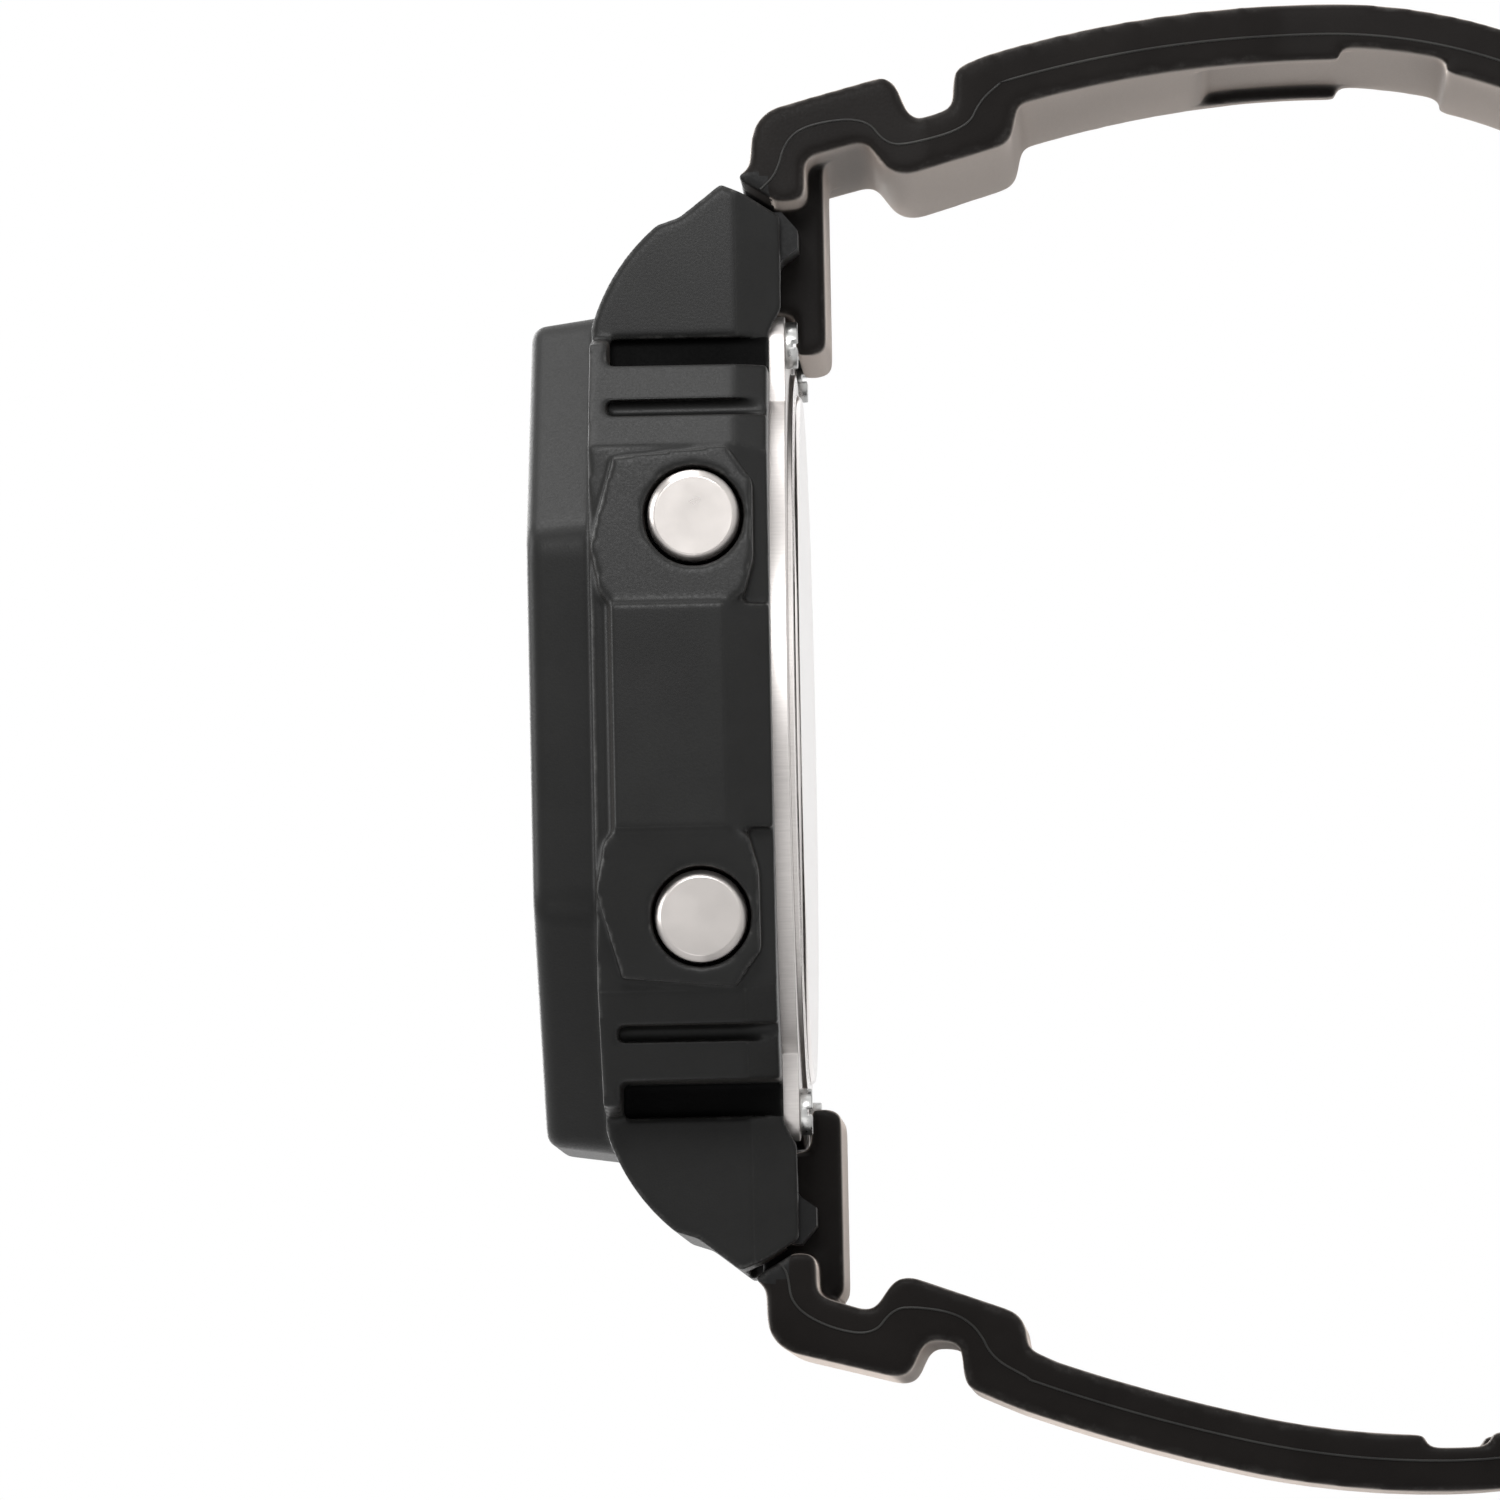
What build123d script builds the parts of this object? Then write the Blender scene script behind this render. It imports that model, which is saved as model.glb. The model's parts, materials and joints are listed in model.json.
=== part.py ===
"""Ana-digi wristwatch: resin shell over a sealed case, hinged resin straps.

The dial faces +Z, 12 o'clock is +Y and 3 o'clock is +X. The origin is the
centre of the case back's outer face. The strap is unbuckled and stands on
the flat stretch of its 6 o'clock half. All lengths are in millimetres.
"""
import os
from math import asin, cos, degrees, pi, radians, sin

from build123d import *

os.makedirs("parts", exist_ok=True)

# Clearances and cutting overrun
fit_gap = 0.1
run_gap = 0.05
pin_gap = 0.03
overrun = 5.0
swing_gap = 0.3
ear_overlap = 0.4
post_end_gap = 0.2

# Sealed case, whose radius sets the place of all that goes round it
case_radius = 18.9
case_neck_step = 1.6
case_wall = 2.9
ledge_width = 1.0
case_neck_radius = case_radius - case_neck_step
case_bore_radius = case_radius - case_wall
ledge_radius = case_bore_radius - ledge_width
case_neck_z = 8.0
case_front_z = 10.5
case_back_z = 1.55
ledge_back_z = 8.0
ledge_front_z = 9.4

# Lug blocks of the sealed case, and the strap hinge in their ears
lug_block_reach = 1.0
lug_block_front_z = 6.0
hinge_reach = 2.0
lug_block_y = case_radius + lug_block_reach
hinge_y = lug_block_y + hinge_reach
hinge_z = 1.25
ear_inner_x = 7.45
ear_outer_x = 11.2
ear_root_z = 5.0
knuckle_radius = 1.7
bar_radius = 0.85
bar_tip_radius = 0.45
bar_tip_length = 2.2
bar_half_length = 7.2

# Ear profile seen from 3 o'clock, as (distance beyond the hinge, height)
ear_profile = ((-0.9, 0.54), (-0.4, -0.15), (0.42, -0.15), (1.22, 0.54), (1.22, 2.2), (0.4, 3.7))

# Octagonal bezel
octagon_overhang = 1.0
octagon_flattening = 0.95
octagon_half_x = case_radius + octagon_overhang
octagon_half_y = octagon_half_x - octagon_flattening
octagon_side_share = 0.45
octagon_end_share = 0.434
octagon_side_y = octagon_side_share * case_radius
octagon_side_x = octagon_end_share * case_radius
octagon_base_z = 8.3
bezel_front_z = 11.97
bezel_draft_angle = 8
octagon_corner_round = 2.5
bezel_edge_round = 0.7

# Shell: plan of the lower body, as distances outside or inside the octagon
shell_side_reach = 1.5
shell_boss_inset = 0.5
shell_rib_inset = (3.7, 1.95)
lug_side_x = 13.0
lug_root_inset = 1.55
lug_end_reach = 2.7
shell_side_x = octagon_half_x + shell_side_reach
shell_shoulder_z = 8.6
shell_crease_z = 2.6
shell_back_z = 1.2
shell_back_taper_angle = 28

# Lug profile seen from 3 o'clock, as (distance beyond the hinge, height): a curved shoulder, then corners
lug_back_z = 0.62
lug_shoulder = ((-3.9, 9.1), (-1.35, 7.9), (0.61, 6.12))
lug_profile = (
    (0.95, 5.09), (2.4, 3.22), (1.96, 2.16), (1.01, lug_back_z), (-3.14, lug_back_z), (-4.2, shell_back_z),
)

# Middle of the buttons, and what keeps its distance from it
button_share = 0.468
button_y = button_share * case_radius
button_z = 4.45
button_hole_radius = 2.22
boss_reach = 3.25
shell_boss_end_y = button_y + boss_reach

# Guard between the buttons
guard_reach = 1.3
guard_x = shell_side_x + guard_reach
guard_to_button = 3.9
guard_half_y = button_y - guard_to_button
guard_front_z = 8.15
guard_back_z = 3.2
guard_back_inset = 0.1
guard_back_x = shell_side_x - guard_back_inset

# Raised pads round the buttons, as (distance from the button, height)
pad_outline = (
    (-4.2, 7.9), (-3.3, 8.65), (-1.2, 9.05), (2.71, 7.97), (3.15, 2.98), (1.55, 1.84),
    (-1.9, 1.86), (-3.5, 2.3), (-4.2, 3.3),
)
pad_inset = 0.55
pad_face_x = guard_x - pad_inset
pad_depth = 4.0
pad_slope = 5.5

# Grip grooves beside the lugs, as (inset of the far edge from the octagon, width, half width at the floor)
groove_below_lug = 0.7
groove_below_octagon = 1.8
groove_wide = (lug_root_inset, 1.5, lug_side_x - groove_below_lug)
groove_narrow = (4.7, 0.75, octagon_half_x - groove_below_octagon)
groove_front_z = 8.3

# Rear cover and its screws
cover_inset = 0.3
cover_radius = case_radius - cover_inset
cover_back_z = 0.5
cover_step_inset = 2.0
cover_disc_inset = 0.9
cover_step_radius = cover_radius - cover_step_inset
cover_disc_radius = cover_step_radius - cover_disc_inset
cover_step_z = 0.25
cover_disc_bevel = 0.2
screw_share = 0.54
screw_x = screw_share * case_radius
screw_inset = 1.7
screw_y = case_radius - screw_inset
screw_tab_radius = 1.3
lug_block_half_x = screw_x + screw_tab_radius
screw_head_radius = 1.05
screw_head_height = 0.55
screw_radius = 0.5
screw_depth = 3.0
screw_slot = (0.3, 0.25)

# Strap sections
strap_thickness = 2.55
strap_half_width = 12.0
strap_narrow_half_width = 10.0
strap_taper_top_z = -6.0
strap_taper_end_z = -22.0
strap_channel_depth = 0.57
strap_channel_half_x = 8.3
strap_bottom_z = -60.0
wing_half_x = 7.0
wing_end_reach = 4.9
wing_root_reach = 3.4
wing_end_y = hinge_y - wing_end_reach
wing_root_y = hinge_y + wing_root_reach
wing_front_z = 0.12
wing_back_z = -1.28
wing_tip_round = 0.5
web_lean = 0.35
web_end_y = cover_radius + swing_gap
web_front_z = case_back_z - swing_gap - fit_gap

# Zigzag at the head of each strap half, seen from the side, as (distance beyond the hinge,
# height) with each corner's rounding
upper_zigzag_outer = (
    ((2.8, 2.6), 0.1), ((3.15, 1.95), 0.3), ((5.64, 1.7), 1.7), ((7.28, -4.5), 0.8),
    ((5.15, -5.35), 0.6), ((5.7, -7.2), 0.5), ((7.5, -7.3), 0.8),
)
upper_zigzag_inner = (
    ((4.1, -9.8), 0.9), ((2.55, -4.55), 1.3), ((4.3, -3.3), 0.6), ((3.6, -0.55), 0.5),
    ((1.75, -0.55), 0.3), ((1.6, 0.7), 0.3),
)
lower_zigzag_outer = (
    ((2.75, 2.75), 0.1), ((3.1, 2.15), 0.3), ((5.83, 2.1), 1.7), ((7.42, -4.1), 0.8),
    ((5.65, -4.9), 0.6), ((5.75, -6.5), 0.5), ((7.75, -6.65), 0.8),
)
lower_zigzag_inner = (
    ((6.1, -9.5), 0.3), ((4.6, -9.4), 1.2), ((2.6, -3.8), 1.0), ((4.35, -2.6), 0.6),
    ((3.55, -0.15), 0.5), ((1.75, -0.15), 0.3), ((1.6, 0.85), 0.3),
)

# Curved part of each half: start of its outer line beyond the hinge, then the arcs
upper_start = (8.14, -8.92)
upper_heading = 16.0
upper_radii = (54.0, 25.5, 18.5)
upper_turns = (16.0, 22.0, 102.0)
lower_start = (8.82, -9.1)
lower_heading = 20.0
lower_radii = (85.0, 42.0, 27.5)
lower_turns = (7.0, 13.0, 90.0)
inner_start_turn = 0.6
tail_tip_y = 28.0
tail_tip_radius = 6.5
upper_channel_top_z = -18.5
upper_bend_notch_turns = ((2.0, 14.0),)
upper_curl_notch_turns = ((34.0, 44.0),)
channel_end_turn = 8.0
lower_channel_rise_turn = 10.0
lower_channel_turn = 70.0
lower_notch_rise_turn = 1.9
lower_notch_turns = ((0.0, 3.7), (16.0, 24.0), (38.0, 46.0), (58.0, 66.0))
hole_radius = 1.1
hole_pitch = 5.6
hole_count = 8
hole_tip_distance = 11.0

# Buckle
buckle_bar_distance = 1.2
buckle_rim = 2.15
buckle_length = 10.8
buckle_back = 1.9
buckle_front = 2.3
buckle_thickness = 2.2
buckle_corner_radius = 1.8
buckle_bevel = 0.35
buckle_side_gap = 0.25
buckle_tip_length = 1.2
prong_half_x = 1.0
prong_thickness = 1.1
prong_tip = 0.7
prong_slot_gap = 0.35
prong_slot_length = 1.7
prong_knuckle_radius = 1.2
prong_rest_gap = 0.05

# Keeper loop on the upper half
keeper_arc_degrees = 18.0
keeper_place_degrees = 76.0
keeper_cut_turn = 5.0
keeper_wall = 1.4
keeper_room = 2.9
keeper_gap = 0.25

# Crystal and dial
crystal_pocket_step = 0.1
gasket_width = 0.45
crystal_pocket_radius = case_bore_radius - crystal_pocket_step
crystal_radius = crystal_pocket_radius - gasket_width
bezel_opening_radius = crystal_pocket_radius + crystal_pocket_step
crystal_back_z = 9.5
crystal_front_z = 10.9
crystal_bevel = 0.25
gasket_front_z = 10.55
dial_gap = 0.3
dial_radius = case_bore_radius - dial_gap
dial_back_z = 7.6
dial_front_z = 8.0
dial_ring_top_width = 0.65
dial_ring_width = 2.05
dial_ring_outer_radius = ledge_radius - run_gap
dial_ring_slope_radius = dial_ring_outer_radius - dial_ring_top_width
dial_ring_inner_radius = dial_ring_outer_radius - dial_ring_width
dial_ring_front_z = 9.35
dial_ring_step_z = 8.2
marker_inset = 0.2
marker_length = 2.5
marker_width = 1.3
marker_height = 0.35
marker_count = 12
marker_outer_radius = dial_ring_inner_radius - marker_inset
marker_inner_radius = marker_outer_radius - marker_length
sub_rim_margin = 1.55
sub_hub_margin = 3.05
sub_ring_width = 0.55
sub_outer_radius = (dial_ring_inner_radius - sub_rim_margin - sub_hub_margin) / 2
sub_radius = sub_outer_radius - sub_ring_width
sub_x = sub_outer_radius + sub_rim_margin - dial_ring_inner_radius
sub_ring_height = 0.2
sub_floor_depth = 0.2
lcd_place_shares = (0.38, -0.48)
lcd_size_shares = (0.59, 0.326)
lcd_centre = tuple(share * dial_ring_inner_radius for share in lcd_place_shares)
lcd_window = tuple(share * dial_ring_inner_radius for share in lcd_size_shares)
lcd_corner_radius = 0.6
lcd_frame_width = 0.5
lcd_frame_height = 0.22
lcd_border = 0.8
lcd_thickness = 0.55

# Hands
hour_hand_z = 8.5
minute_hand_z = 8.9
hand_thickness = 0.17
minute_hand_gap = 1.3
hour_hand_share = 0.69
minute_hand_length = dial_ring_inner_radius - minute_hand_gap
hour_hand_length = hour_hand_share * minute_hand_length
hand_width = 1.5
hand_tail = 2.4
hour_hand_angle = 304.0
minute_hand_angle = 48.0
sub_hand_angle = 20.0
hand_hub_radius = 1.15
sub_hand_z = 8.06
sub_hand_gap = 0.6
sub_hand_length = sub_radius - sub_hand_gap
sub_hand_thickness = 0.12
sub_hand_width = 0.5
sub_hub_radius = 0.55

# Gear train: teeth, and heights of the wheels
cannon_teeth = 12
minute_wheel_teeth = 36
pinion_teeth = 10
hour_wheel_teeth = 40
gear_centre_distance = 2.88
gear_thickness = 0.3
cannon_gear_z = 5.6
hour_gear_z = 6.75
post_radius = 0.25
cannon_radius = 0.48
hour_pipe_radius = 0.78
cannon_top_z = 9.2
hour_pipe_top_z = 8.78
sub_pipe_top_z = 8.3
sub_wheel_teeth = 24
sub_wheel_module = 0.16
tooth_height_share = 0.8
tooth_root_share = 1.05
tooth_base_share = 0.6
tooth_top_share = 0.2

# Movement stack
frame_gap = 0.7
frame_radius = case_bore_radius - frame_gap
frame_back_z = 2.0
board_back_z = 4.35
board_front_z = 4.95
board_inset = 2.9
board_radius = frame_radius - board_inset
stem_room_half_y = 1.5
wheel_room_gap = 0.35
cell_share = 0.258
cell_radius = cell_share * frame_radius
cell_height = 2.1
cell_place_shares = ((-0.3, 0.392), (0.3, 0.392))
cell_centres = [(x * frame_radius, y * frame_radius) for x, y in cell_place_shares]
cell_gap = 0.15
clip_width = 3.0
clip_inset = 1.1
clip_length = 2 * (cell_centres[1][0] + cell_radius - clip_inset)
clip_thickness = 0.2
piezo_share = 0.36
piezo_place_share = -0.458
piezo_radius = piezo_share * frame_radius
piezo_y = piezo_place_share * frame_radius
piezo_thickness = 0.22
coil_radius = 0.75
coil_core_half = 0.3
coil_core_share = 0.55
coil_end_length = 1.0
coil_core_length = coil_core_share * frame_radius
coil_length = coil_core_length - 2 * coil_end_length
coil_place_shares = ((0.0, -0.627), (0.562, 0.209), (-0.458, 0.431))
coil_places = [(x * frame_radius, y * frame_radius) for x, y in coil_place_shares]
coil_turns = (0.0, 70.0, 35.0)
rear_gasket_inset = 1.7
rear_gasket_radius = case_radius - rear_gasket_inset
rear_gasket_section = 0.45

# Buttons
button_radius = 2.05
button_stand = 0.15
button_face_x = pad_face_x + button_stand
button_cap_length = 2.4
button_bevel = 0.3
button_bore_radius = 1.45
button_bore_depth = 1.3
button_boss_radius = 2.15
button_boss_end_x = case_radius
button_boss_start_x = (case_bore_radius**2 - button_y**2) ** (1 / 2) + run_gap
stem_radius = 0.6
stem_reach = 0.6
stem_room = 1.2
stem_end_x = button_boss_start_x - stem_reach
stem_room_x = stem_end_x - stem_room
sleeve_radius = 1.3
sleeve_bore_radius = 0.75
seal_section_radius = 0.14
seal_inset = 2.5
seal_x = button_boss_end_x - seal_inset
stem_groove_depth = 0.16
clip_ring_radius = 1.15
clip_ring_thickness = 0.25
clip_mouth = 0.7
spring_radius = 1.05
spring_wire_radius = 0.13
spring_turns = 4

SIDES = (1, -1)
button_places = {"two": (1, 1), "four": (1, -1), "eight": (-1, -1), "ten": (-1, 1)}


def save(part, name):
    """Label a finished piece and write it as its own file."""
    part.label = name
    export_step(part, f"parts/{name}.step")


def button_plane(side_x, x):
    """Plane square to the button's travel, facing out of the case."""
    return Plane(origin=(side_x * x, 0, 0), x_dir=(0, 1, 0), z_dir=(side_x, 0, 0))


# Outer bezel: octagon, shoulder body with lugs, guards, pads and grooves
octagon_points = (
    (octagon_half_x, 0), (octagon_half_x, octagon_side_y),
    (octagon_side_x, octagon_half_y), (0, octagon_half_y),
)
lug_end_y = hinge_y + lug_end_reach
case_quarter = (
    (shell_side_x, 0), (shell_side_x, guard_half_y), (shell_side_x - shell_boss_inset, shell_boss_end_y),
    (octagon_half_x - shell_rib_inset[0], octagon_half_y - shell_rib_inset[1]),
    (lug_side_x, octagon_half_y - lug_root_inset), (lug_side_x, lug_end_y), (0, lug_end_y),
)
shoulder_curve = [(hinge_y + y, z) for y, z in lug_shoulder]
half_profile = [shoulder_curve[-1]] + [(hinge_y + y, z) for y, z in lug_profile] + [(0, shell_back_z)]
ear_outline = [(hinge_y + y, z) for y, z in ear_profile]
hinge_pocket = (
    (lug_block_y - fit_gap, -overrun), (lug_block_y - fit_gap, ear_root_z + fit_gap),
    (ear_outline[-1][0] + fit_gap, ear_outline[-1][1] + fit_gap),
    (ear_outline[-2][0] + fit_gap, ear_outline[-2][1] + fit_gap),
    (ear_outline[-2][0] + fit_gap, -overrun),
)
web_top_z = hinge_z + knuckle_radius + swing_gap

with BuildPart() as octagon:
    with BuildSketch(Plane.XY.offset(octagon_base_z)) as octagon_plan:
        with BuildLine():
            Polyline(*octagon_points)
            mirror(about=Plane.YZ)
            mirror(about=Plane.XZ)
        make_face()
        for side_x in SIDES:
            for side_y in SIDES:
                for x, y in octagon_points[1:3]:
                    corner = octagon_plan.vertices().sort_by_distance((side_x * x, side_y * y))[0]
                    fillet(corner, octagon_corner_round)
    extrude(amount=bezel_front_z - octagon_base_z, taper=bezel_draft_angle)
    fillet(octagon.faces().sort_by(Axis.Z)[-1].edges(), bezel_edge_round)

with BuildPart() as shell:
    with BuildSketch(Plane.XY.offset(shell_crease_z)):
        with BuildLine():
            Polyline(*case_quarter)
            mirror(about=Plane.YZ)
            mirror(about=Plane.XZ)
        make_face()
    extrude(amount=shell_shoulder_z + overrun - shell_crease_z)
    with BuildSketch(Plane.XY.offset(shell_crease_z)):
        with BuildLine():
            Polyline(*case_quarter)
            mirror(about=Plane.YZ)
            mirror(about=Plane.XZ)
        make_face()
    extrude(amount=-shell_crease_z, taper=shell_back_taper_angle)
    with BuildSketch(Plane.YZ):
        with BuildLine():
            Line((0, shoulder_curve[0][1]), shoulder_curve[0])
            ThreePointArc(*shoulder_curve)
            Polyline(*half_profile)
            mirror(about=Plane.YZ)
        make_face()
    extrude(amount=guard_x, both=True, mode=Mode.INTERSECT)

with BuildPart() as outer_bezel:
    add(shell.part)
    add(octagon.part)
    # Guards between the buttons
    with BuildSketch(Plane.XZ):
        with BuildLine():
            Polyline(
                (0, shell_back_z), (guard_back_x, shell_back_z), (guard_x, guard_back_z),
                (guard_x, guard_front_z), (octagon_half_x, shell_shoulder_z), (0, shell_shoulder_z),
            )
            mirror(about=Plane.YZ)
        make_face()
    extrude(amount=guard_half_y, both=True)
    # Pads that frame the buttons
    for side_x, side_y in button_places.values():
        out = (side_x * cos(radians(pad_slope)), side_y * sin(radians(pad_slope)), 0)
        along = (-side_x * sin(radians(pad_slope)), side_y * cos(radians(pad_slope)), 0)
        flip = side_x * side_y
        pad_plane = Plane(origin=(side_x * pad_face_x, side_y * button_y, 0), x_dir=along, z_dir=out)
        with BuildSketch(pad_plane):
            Polygon(*[(y, flip * z) for y, z in pad_outline], align=None)
        extrude(amount=-pad_depth)
    # Grip grooves
    with BuildSketch(Plane.XY.offset(-overrun)):
        for far_inset, width, floor_x in (groove_wide, groove_narrow):
            groove_x = floor_x + overrun / 2
            groove_y = octagon_half_y - far_inset - width / 2
            with Locations(*[(x * groove_x, y * groove_y) for x in SIDES for y in SIDES]):
                Rectangle(overrun, width)
    extrude(amount=overrun + groove_front_z, mode=Mode.SUBTRACT)
    # Room for the sealed case, open at the back
    with BuildSketch(Plane.XY.offset(-overrun)):
        Circle(case_radius + fit_gap)
    extrude(amount=overrun + case_neck_z + fit_gap, mode=Mode.SUBTRACT)
    with BuildSketch(Plane.XY):
        Circle(case_neck_radius + fit_gap)
    extrude(amount=case_front_z + fit_gap, mode=Mode.SUBTRACT)
    with BuildSketch(Plane.XY):
        Circle(bezel_opening_radius)
    extrude(amount=bezel_front_z + overrun, mode=Mode.SUBTRACT)
    # Room for the lug blocks, the screws, the ears and the strap's knuckle
    with BuildSketch(Plane.XY.offset(-overrun)):
        Rectangle(2 * (lug_block_half_x + fit_gap), 2 * lug_block_y)
        with Locations(*[(x * screw_x, y * screw_y) for x in SIDES for y in SIDES]):
            Circle(screw_tab_radius + fit_gap)
    extrude(amount=overrun + lug_block_front_z + fit_gap, mode=Mode.SUBTRACT)
    for side_y in SIDES:
        with BuildSketch(Plane.YZ):
            Polygon(*[(side_y * y, z) for y, z in hinge_pocket], align=None)
        extrude(amount=ear_outer_x + fit_gap, both=True, mode=Mode.SUBTRACT)
        with BuildSketch(Plane.XZ.offset(-side_y * lug_block_y)):
            with Locations((0, web_top_z - overrun)):
                Rectangle(2 * (wing_half_x + swing_gap), 2 * overrun)
        extrude(amount=-side_y * overrun, mode=Mode.SUBTRACT)
    # Button holes
    for side_x, side_y in button_places.values():
        with BuildSketch(button_plane(side_x, button_boss_start_x)):
            with Locations((side_y * button_y, side_x * button_z)):
                Circle(button_hole_radius)
        extrude(amount=guard_x, mode=Mode.SUBTRACT)
save(outer_bezel.part, "outer_bezel")


# Sealed case with its lug ears, button bosses and screw posts
with BuildPart() as centre_case:
    with BuildSketch(Plane.XY.offset(case_back_z)):
        Circle(case_radius)
    extrude(amount=case_neck_z - case_back_z)
    with BuildSketch(Plane.XY.offset(case_back_z)):
        Circle(case_neck_radius)
    extrude(amount=case_front_z - case_back_z)
    with BuildSketch(Plane.XY.offset(case_back_z)):
        Rectangle(2 * lug_block_half_x, 2 * (lug_block_y - fit_gap))
        with Locations(*[(x * screw_x, y * screw_y) for x in SIDES for y in SIDES]):
            Circle(screw_tab_radius)
    extrude(amount=lug_block_front_z - case_back_z)
    for side_x in SIDES:
        for side_y in SIDES:
            ear_plane = Plane.YZ.offset(side_x * ear_inner_x)
            ear_root_y = lug_block_y - ear_overlap
            ear = [(ear_root_y, case_back_z)] + ear_outline + [(ear_root_y, ear_root_z)]
            with BuildSketch(ear_plane):
                Polygon(*[(side_y * y, z) for y, z in ear], align=None)
            extrude(amount=side_x * (ear_outer_x - ear_inner_x))
            with BuildSketch(ear_plane):
                with Locations((side_y * hinge_y, hinge_z)):
                    Circle(bar_tip_radius + run_gap)
            extrude(amount=side_x * (bar_tip_length + fit_gap), mode=Mode.SUBTRACT)
            with BuildSketch(button_plane(side_x, button_boss_start_x)):
                with Locations((side_y * button_y, side_x * button_z)):
                    Circle(button_boss_radius)
            extrude(amount=button_boss_end_x - button_boss_start_x)
    with BuildSketch(Plane.XY):
        Circle(case_bore_radius)
    extrude(amount=ledge_back_z, mode=Mode.SUBTRACT)
    with BuildSketch(Plane.XY):
        Circle(ledge_radius)
    extrude(amount=case_front_z, mode=Mode.SUBTRACT)
    with BuildSketch(Plane.XY.offset(ledge_front_z)):
        Circle(crystal_pocket_radius)
    extrude(amount=case_front_z, mode=Mode.SUBTRACT)
    for side_x, side_y in button_places.values():
        with BuildSketch(button_plane(side_x, 0)):
            with Locations((side_y * button_y, side_x * button_z)):
                Circle(sleeve_radius)
        extrude(amount=guard_x, mode=Mode.SUBTRACT)
    with BuildSketch(Plane.XY.offset(case_back_z)):
        with Locations(*[(x * screw_x, y * screw_y) for x in SIDES for y in SIDES]):
            Circle(screw_radius)
    extrude(amount=screw_depth, mode=Mode.SUBTRACT)
    with BuildSketch(Plane.XY.offset(case_back_z)):
        Circle(rear_gasket_radius + rear_gasket_section / 2 + fit_gap)
        Circle(rear_gasket_radius - rear_gasket_section / 2 - fit_gap, mode=Mode.SUBTRACT)
    extrude(amount=rear_gasket_section + fit_gap, mode=Mode.SUBTRACT)
save(centre_case.part, "centre_case")

with BuildPart() as rear_gasket:
    with BuildSketch(Plane.XZ):
        with Locations((rear_gasket_radius, case_back_z + rear_gasket_section / 2)):
            Circle(rear_gasket_section / 2)
    revolve(axis=Axis.Z)
save(rear_gasket.part, "rear_gasket")

# Rear cover: plate with four screw tabs and a stepped disc
with BuildPart() as rear_cover:
    with BuildSketch(Plane.XY.offset(cover_back_z)):
        Circle(cover_radius)
        with Locations(*[(x * screw_x, y * screw_y) for x in SIDES for y in SIDES]):
            Circle(screw_tab_radius)
        with Locations((screw_x, 0), (-screw_x, 0)):
            Rectangle(2 * screw_tab_radius, 2 * screw_y)
    extrude(amount=case_back_z - cover_back_z)
    with BuildSketch(Plane.XY.offset(cover_step_z)):
        Circle(cover_step_radius)
    extrude(amount=cover_back_z - cover_step_z)
    with BuildSketch(Plane.XY):
        Circle(cover_disc_radius)
    extrude(amount=cover_step_z)
    chamfer(rear_cover.faces().sort_by(Axis.Z)[0].edges(), cover_disc_bevel)
    with BuildSketch(Plane.XY):
        with Locations(*[(x * screw_x, y * screw_y) for x in SIDES for y in SIDES]):
            Circle(screw_radius + fit_gap)
    extrude(amount=case_back_z, mode=Mode.SUBTRACT)
save(rear_cover.part, "rear_cover")

with BuildPart() as rear_cover_screws:
    for x in SIDES:
        for y in SIDES:
            with BuildSketch(Plane.XY.offset(cover_back_z - screw_head_height)):
                with Locations((x * screw_x, y * screw_y)):
                    Circle(screw_head_radius)
            extrude(amount=screw_head_height)
            with BuildSketch(Plane.XY.offset(cover_back_z)):
                with Locations((x * screw_x, y * screw_y)):
                    Circle(screw_radius - pin_gap)
            extrude(amount=screw_depth)
            with BuildSketch(Plane.XY.offset(cover_back_z - screw_head_height)):
                with Locations((x * screw_x, y * screw_y)):
                    Rectangle(2 * screw_head_radius, screw_slot[0])
                    Rectangle(screw_slot[0], 2 * screw_head_radius)
            extrude(amount=screw_slot[1], mode=Mode.SUBTRACT)
save(rear_cover_screws.part, "rear_cover_screws")


def strap_spans(start, heading, radii, turns):
    """Arcs of the strap's outer line as (centre, radius, first angle, last angle)."""
    y, z = hinge_y + start[0], start[1]
    spans = []
    for radius, turn in zip(radii, turns):
        centre = (y - radius * cos(radians(heading)), z - radius * sin(radians(heading)))
        spans.append((centre, radius, heading, heading - turn))
        heading -= turn
        y = centre[0] + radius * cos(radians(heading))
        z = centre[1] + radius * sin(radians(heading))
    return spans


def on_span(span, depth, angle):
    """Point at an angle of a span, a depth inside its outer line."""
    centre, radius = span[0], span[1]
    return (
        centre[0] + (radius - depth) * cos(radians(angle)),
        centre[1] + (radius - depth) * sin(radians(angle)),
    )


def arc_line(side, span, depth, first, last):
    """Arc edge of the side view between two angles of a span."""
    points = [on_span(span, depth, angle) for angle in (first, (first + last) / 2, last)]
    ThreePointArc(*[(side * y, z) for y, z in points])


def sector(side, span, near_depth, far_depth, first, last):
    """Closed band between two depths and two angles of a span."""
    arc_line(side, span, near_depth, first, last)
    arc_line(side, span, far_depth, first, last)
    for angle in (first, last):
        ends = [on_span(span, depth, angle) for depth in (near_depth, far_depth)]
        Line(*[(side * y, z) for y, z in ends])


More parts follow.
